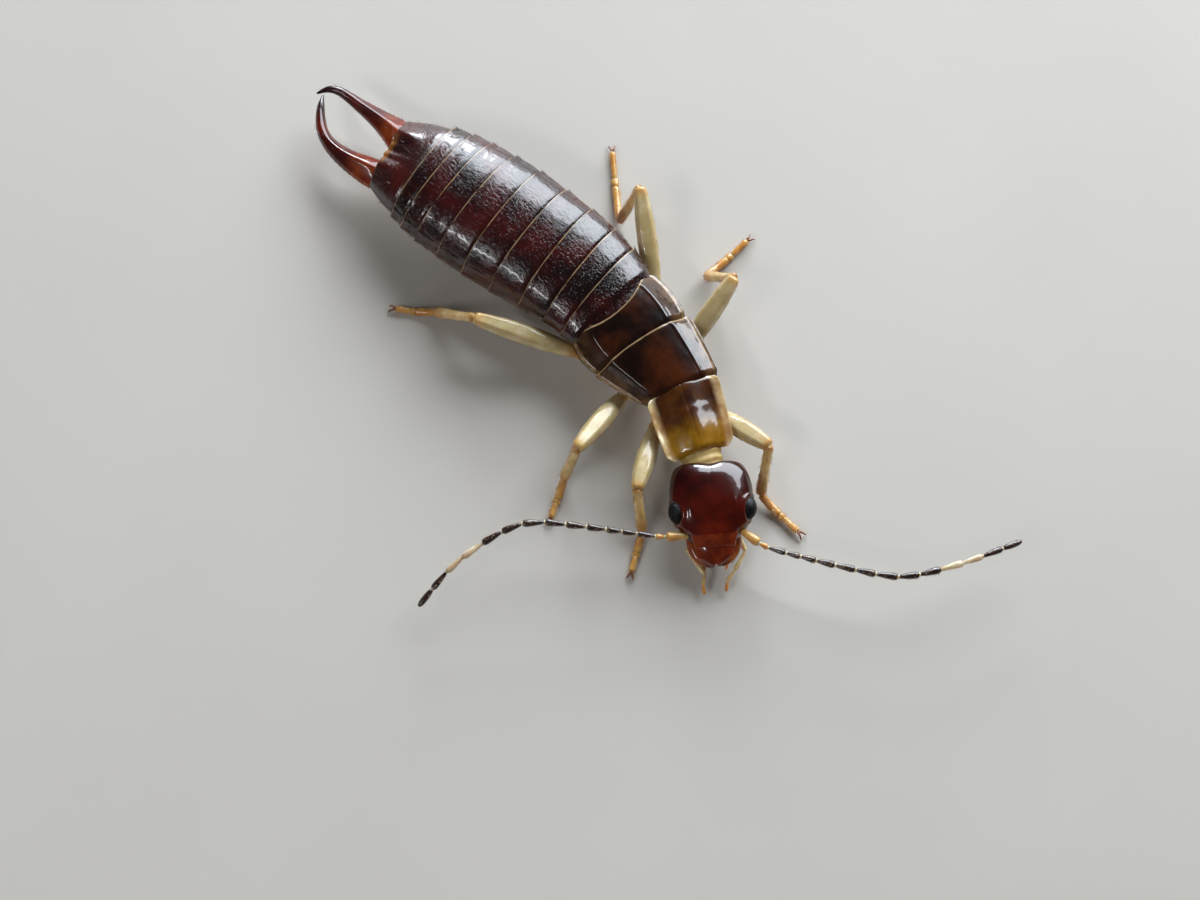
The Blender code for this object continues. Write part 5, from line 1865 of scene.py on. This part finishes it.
# %% Floor
start_fresh()
bpy.ops.mesh.primitive_plane_add(size=1.2)
floor = bpy.context.object
floor.name = "floor"
floor_finish = bpy.data.materials.new("pale_floor")
floor_finish.use_nodes = True
floor_tree = floor_finish.node_tree
floor_shader = floor_tree.nodes["Principled BSDF"]
speckle = wire(floor_tree, "ShaderNodeTexNoise", {"Vector": place_in_mm(floor_tree), "Scale": 0.15, "Detail": 4.0}).outputs["Fac"]
floor_tint = blend_colours(floor_tree, speckle, paint((0.55, 0.51, 0.46)), paint((0.61, 0.57, 0.52)))
floor_tree.links.new(floor_tint, floor_shader.inputs["Base Color"])
floor_shader.inputs["Roughness"].default_value = 0.75
floor.data.materials.append(floor_finish)

# %% Light


def soft_lamp(name, direction, distance, width, height, power, colour):
    """A square lamp that looks at the middle of the animal."""
    data = bpy.data.lights.new(name, "AREA")
    data.shape = "RECTANGLE"
    data.size = width
    data.size_y = height
    data.energy = power
    data.color = colour
    lamp = bpy.data.objects.new(name, data)
    bpy.context.scene.collection.objects.link(lamp)
    way = Vector(direction).normalized()
    lamp.location = way * distance
    lamp.rotation_euler = way.to_track_quat("Z", "Y").to_euler()
    lamp.visible_camera = False
    return lamp


soft_lamp("window", (0.79, 0.37, 0.49), 0.13, 0.13, 0.10, 0.34, (0.86, 0.93, 1.0))
soft_lamp("back", (0.56, 0.77, 0.30), 0.14, 0.035, 0.030, 0.090, (0.86, 0.93, 1.0))
soft_lamp("fill", (-0.69, 0.02, 0.72), 0.13, 0.060, 0.007, 0.030, (0.97, 0.98, 1.0))
bounce = soft_lamp("bounce", (-0.75, -0.45, 0.45), 0.20, 0.20, 0.10, 0.060, (1.0, 0.98, 0.95))
bounce.visible_glossy = False
world = bpy.data.worlds.new("studio")
bpy.context.scene.world = world
world.use_nodes = True
world.node_tree.nodes["Background"].inputs["Color"].default_value = (0.80, 0.85, 0.92, 1.0)
world.node_tree.nodes["Background"].inputs["Strength"].default_value = 0.045
bpy.context.scene.view_settings.view_transform = "Standard"

# %% Camera
CAMERA_AZIMUTH = math.radians(-38.0)
CAMERA_ELEVATION = math.radians(73.0)
CAMERA_DISTANCE = 0.0508
CAMERA_LENS = 66.0
look_at = -CENTRE * MM
camera_back = Vector((
    math.sin(CAMERA_AZIMUTH) * math.cos(CAMERA_ELEVATION),
    -math.cos(CAMERA_AZIMUTH) * math.cos(CAMERA_ELEVATION),
    math.sin(CAMERA_ELEVATION),
))
camera = bpy.data.objects.new("camera", bpy.data.cameras.new("camera"))
bpy.context.scene.collection.objects.link(camera)
camera.location = look_at + camera_back * CAMERA_DISTANCE
camera.rotation_euler = (-camera_back).to_track_quat("-Z", "Y").to_euler()
camera.data.lens = CAMERA_LENS
camera.data.sensor_width = 36.0
camera.data.clip_start = 0.001
camera.data.clip_end = 10.0
bpy.context.scene.camera = camera
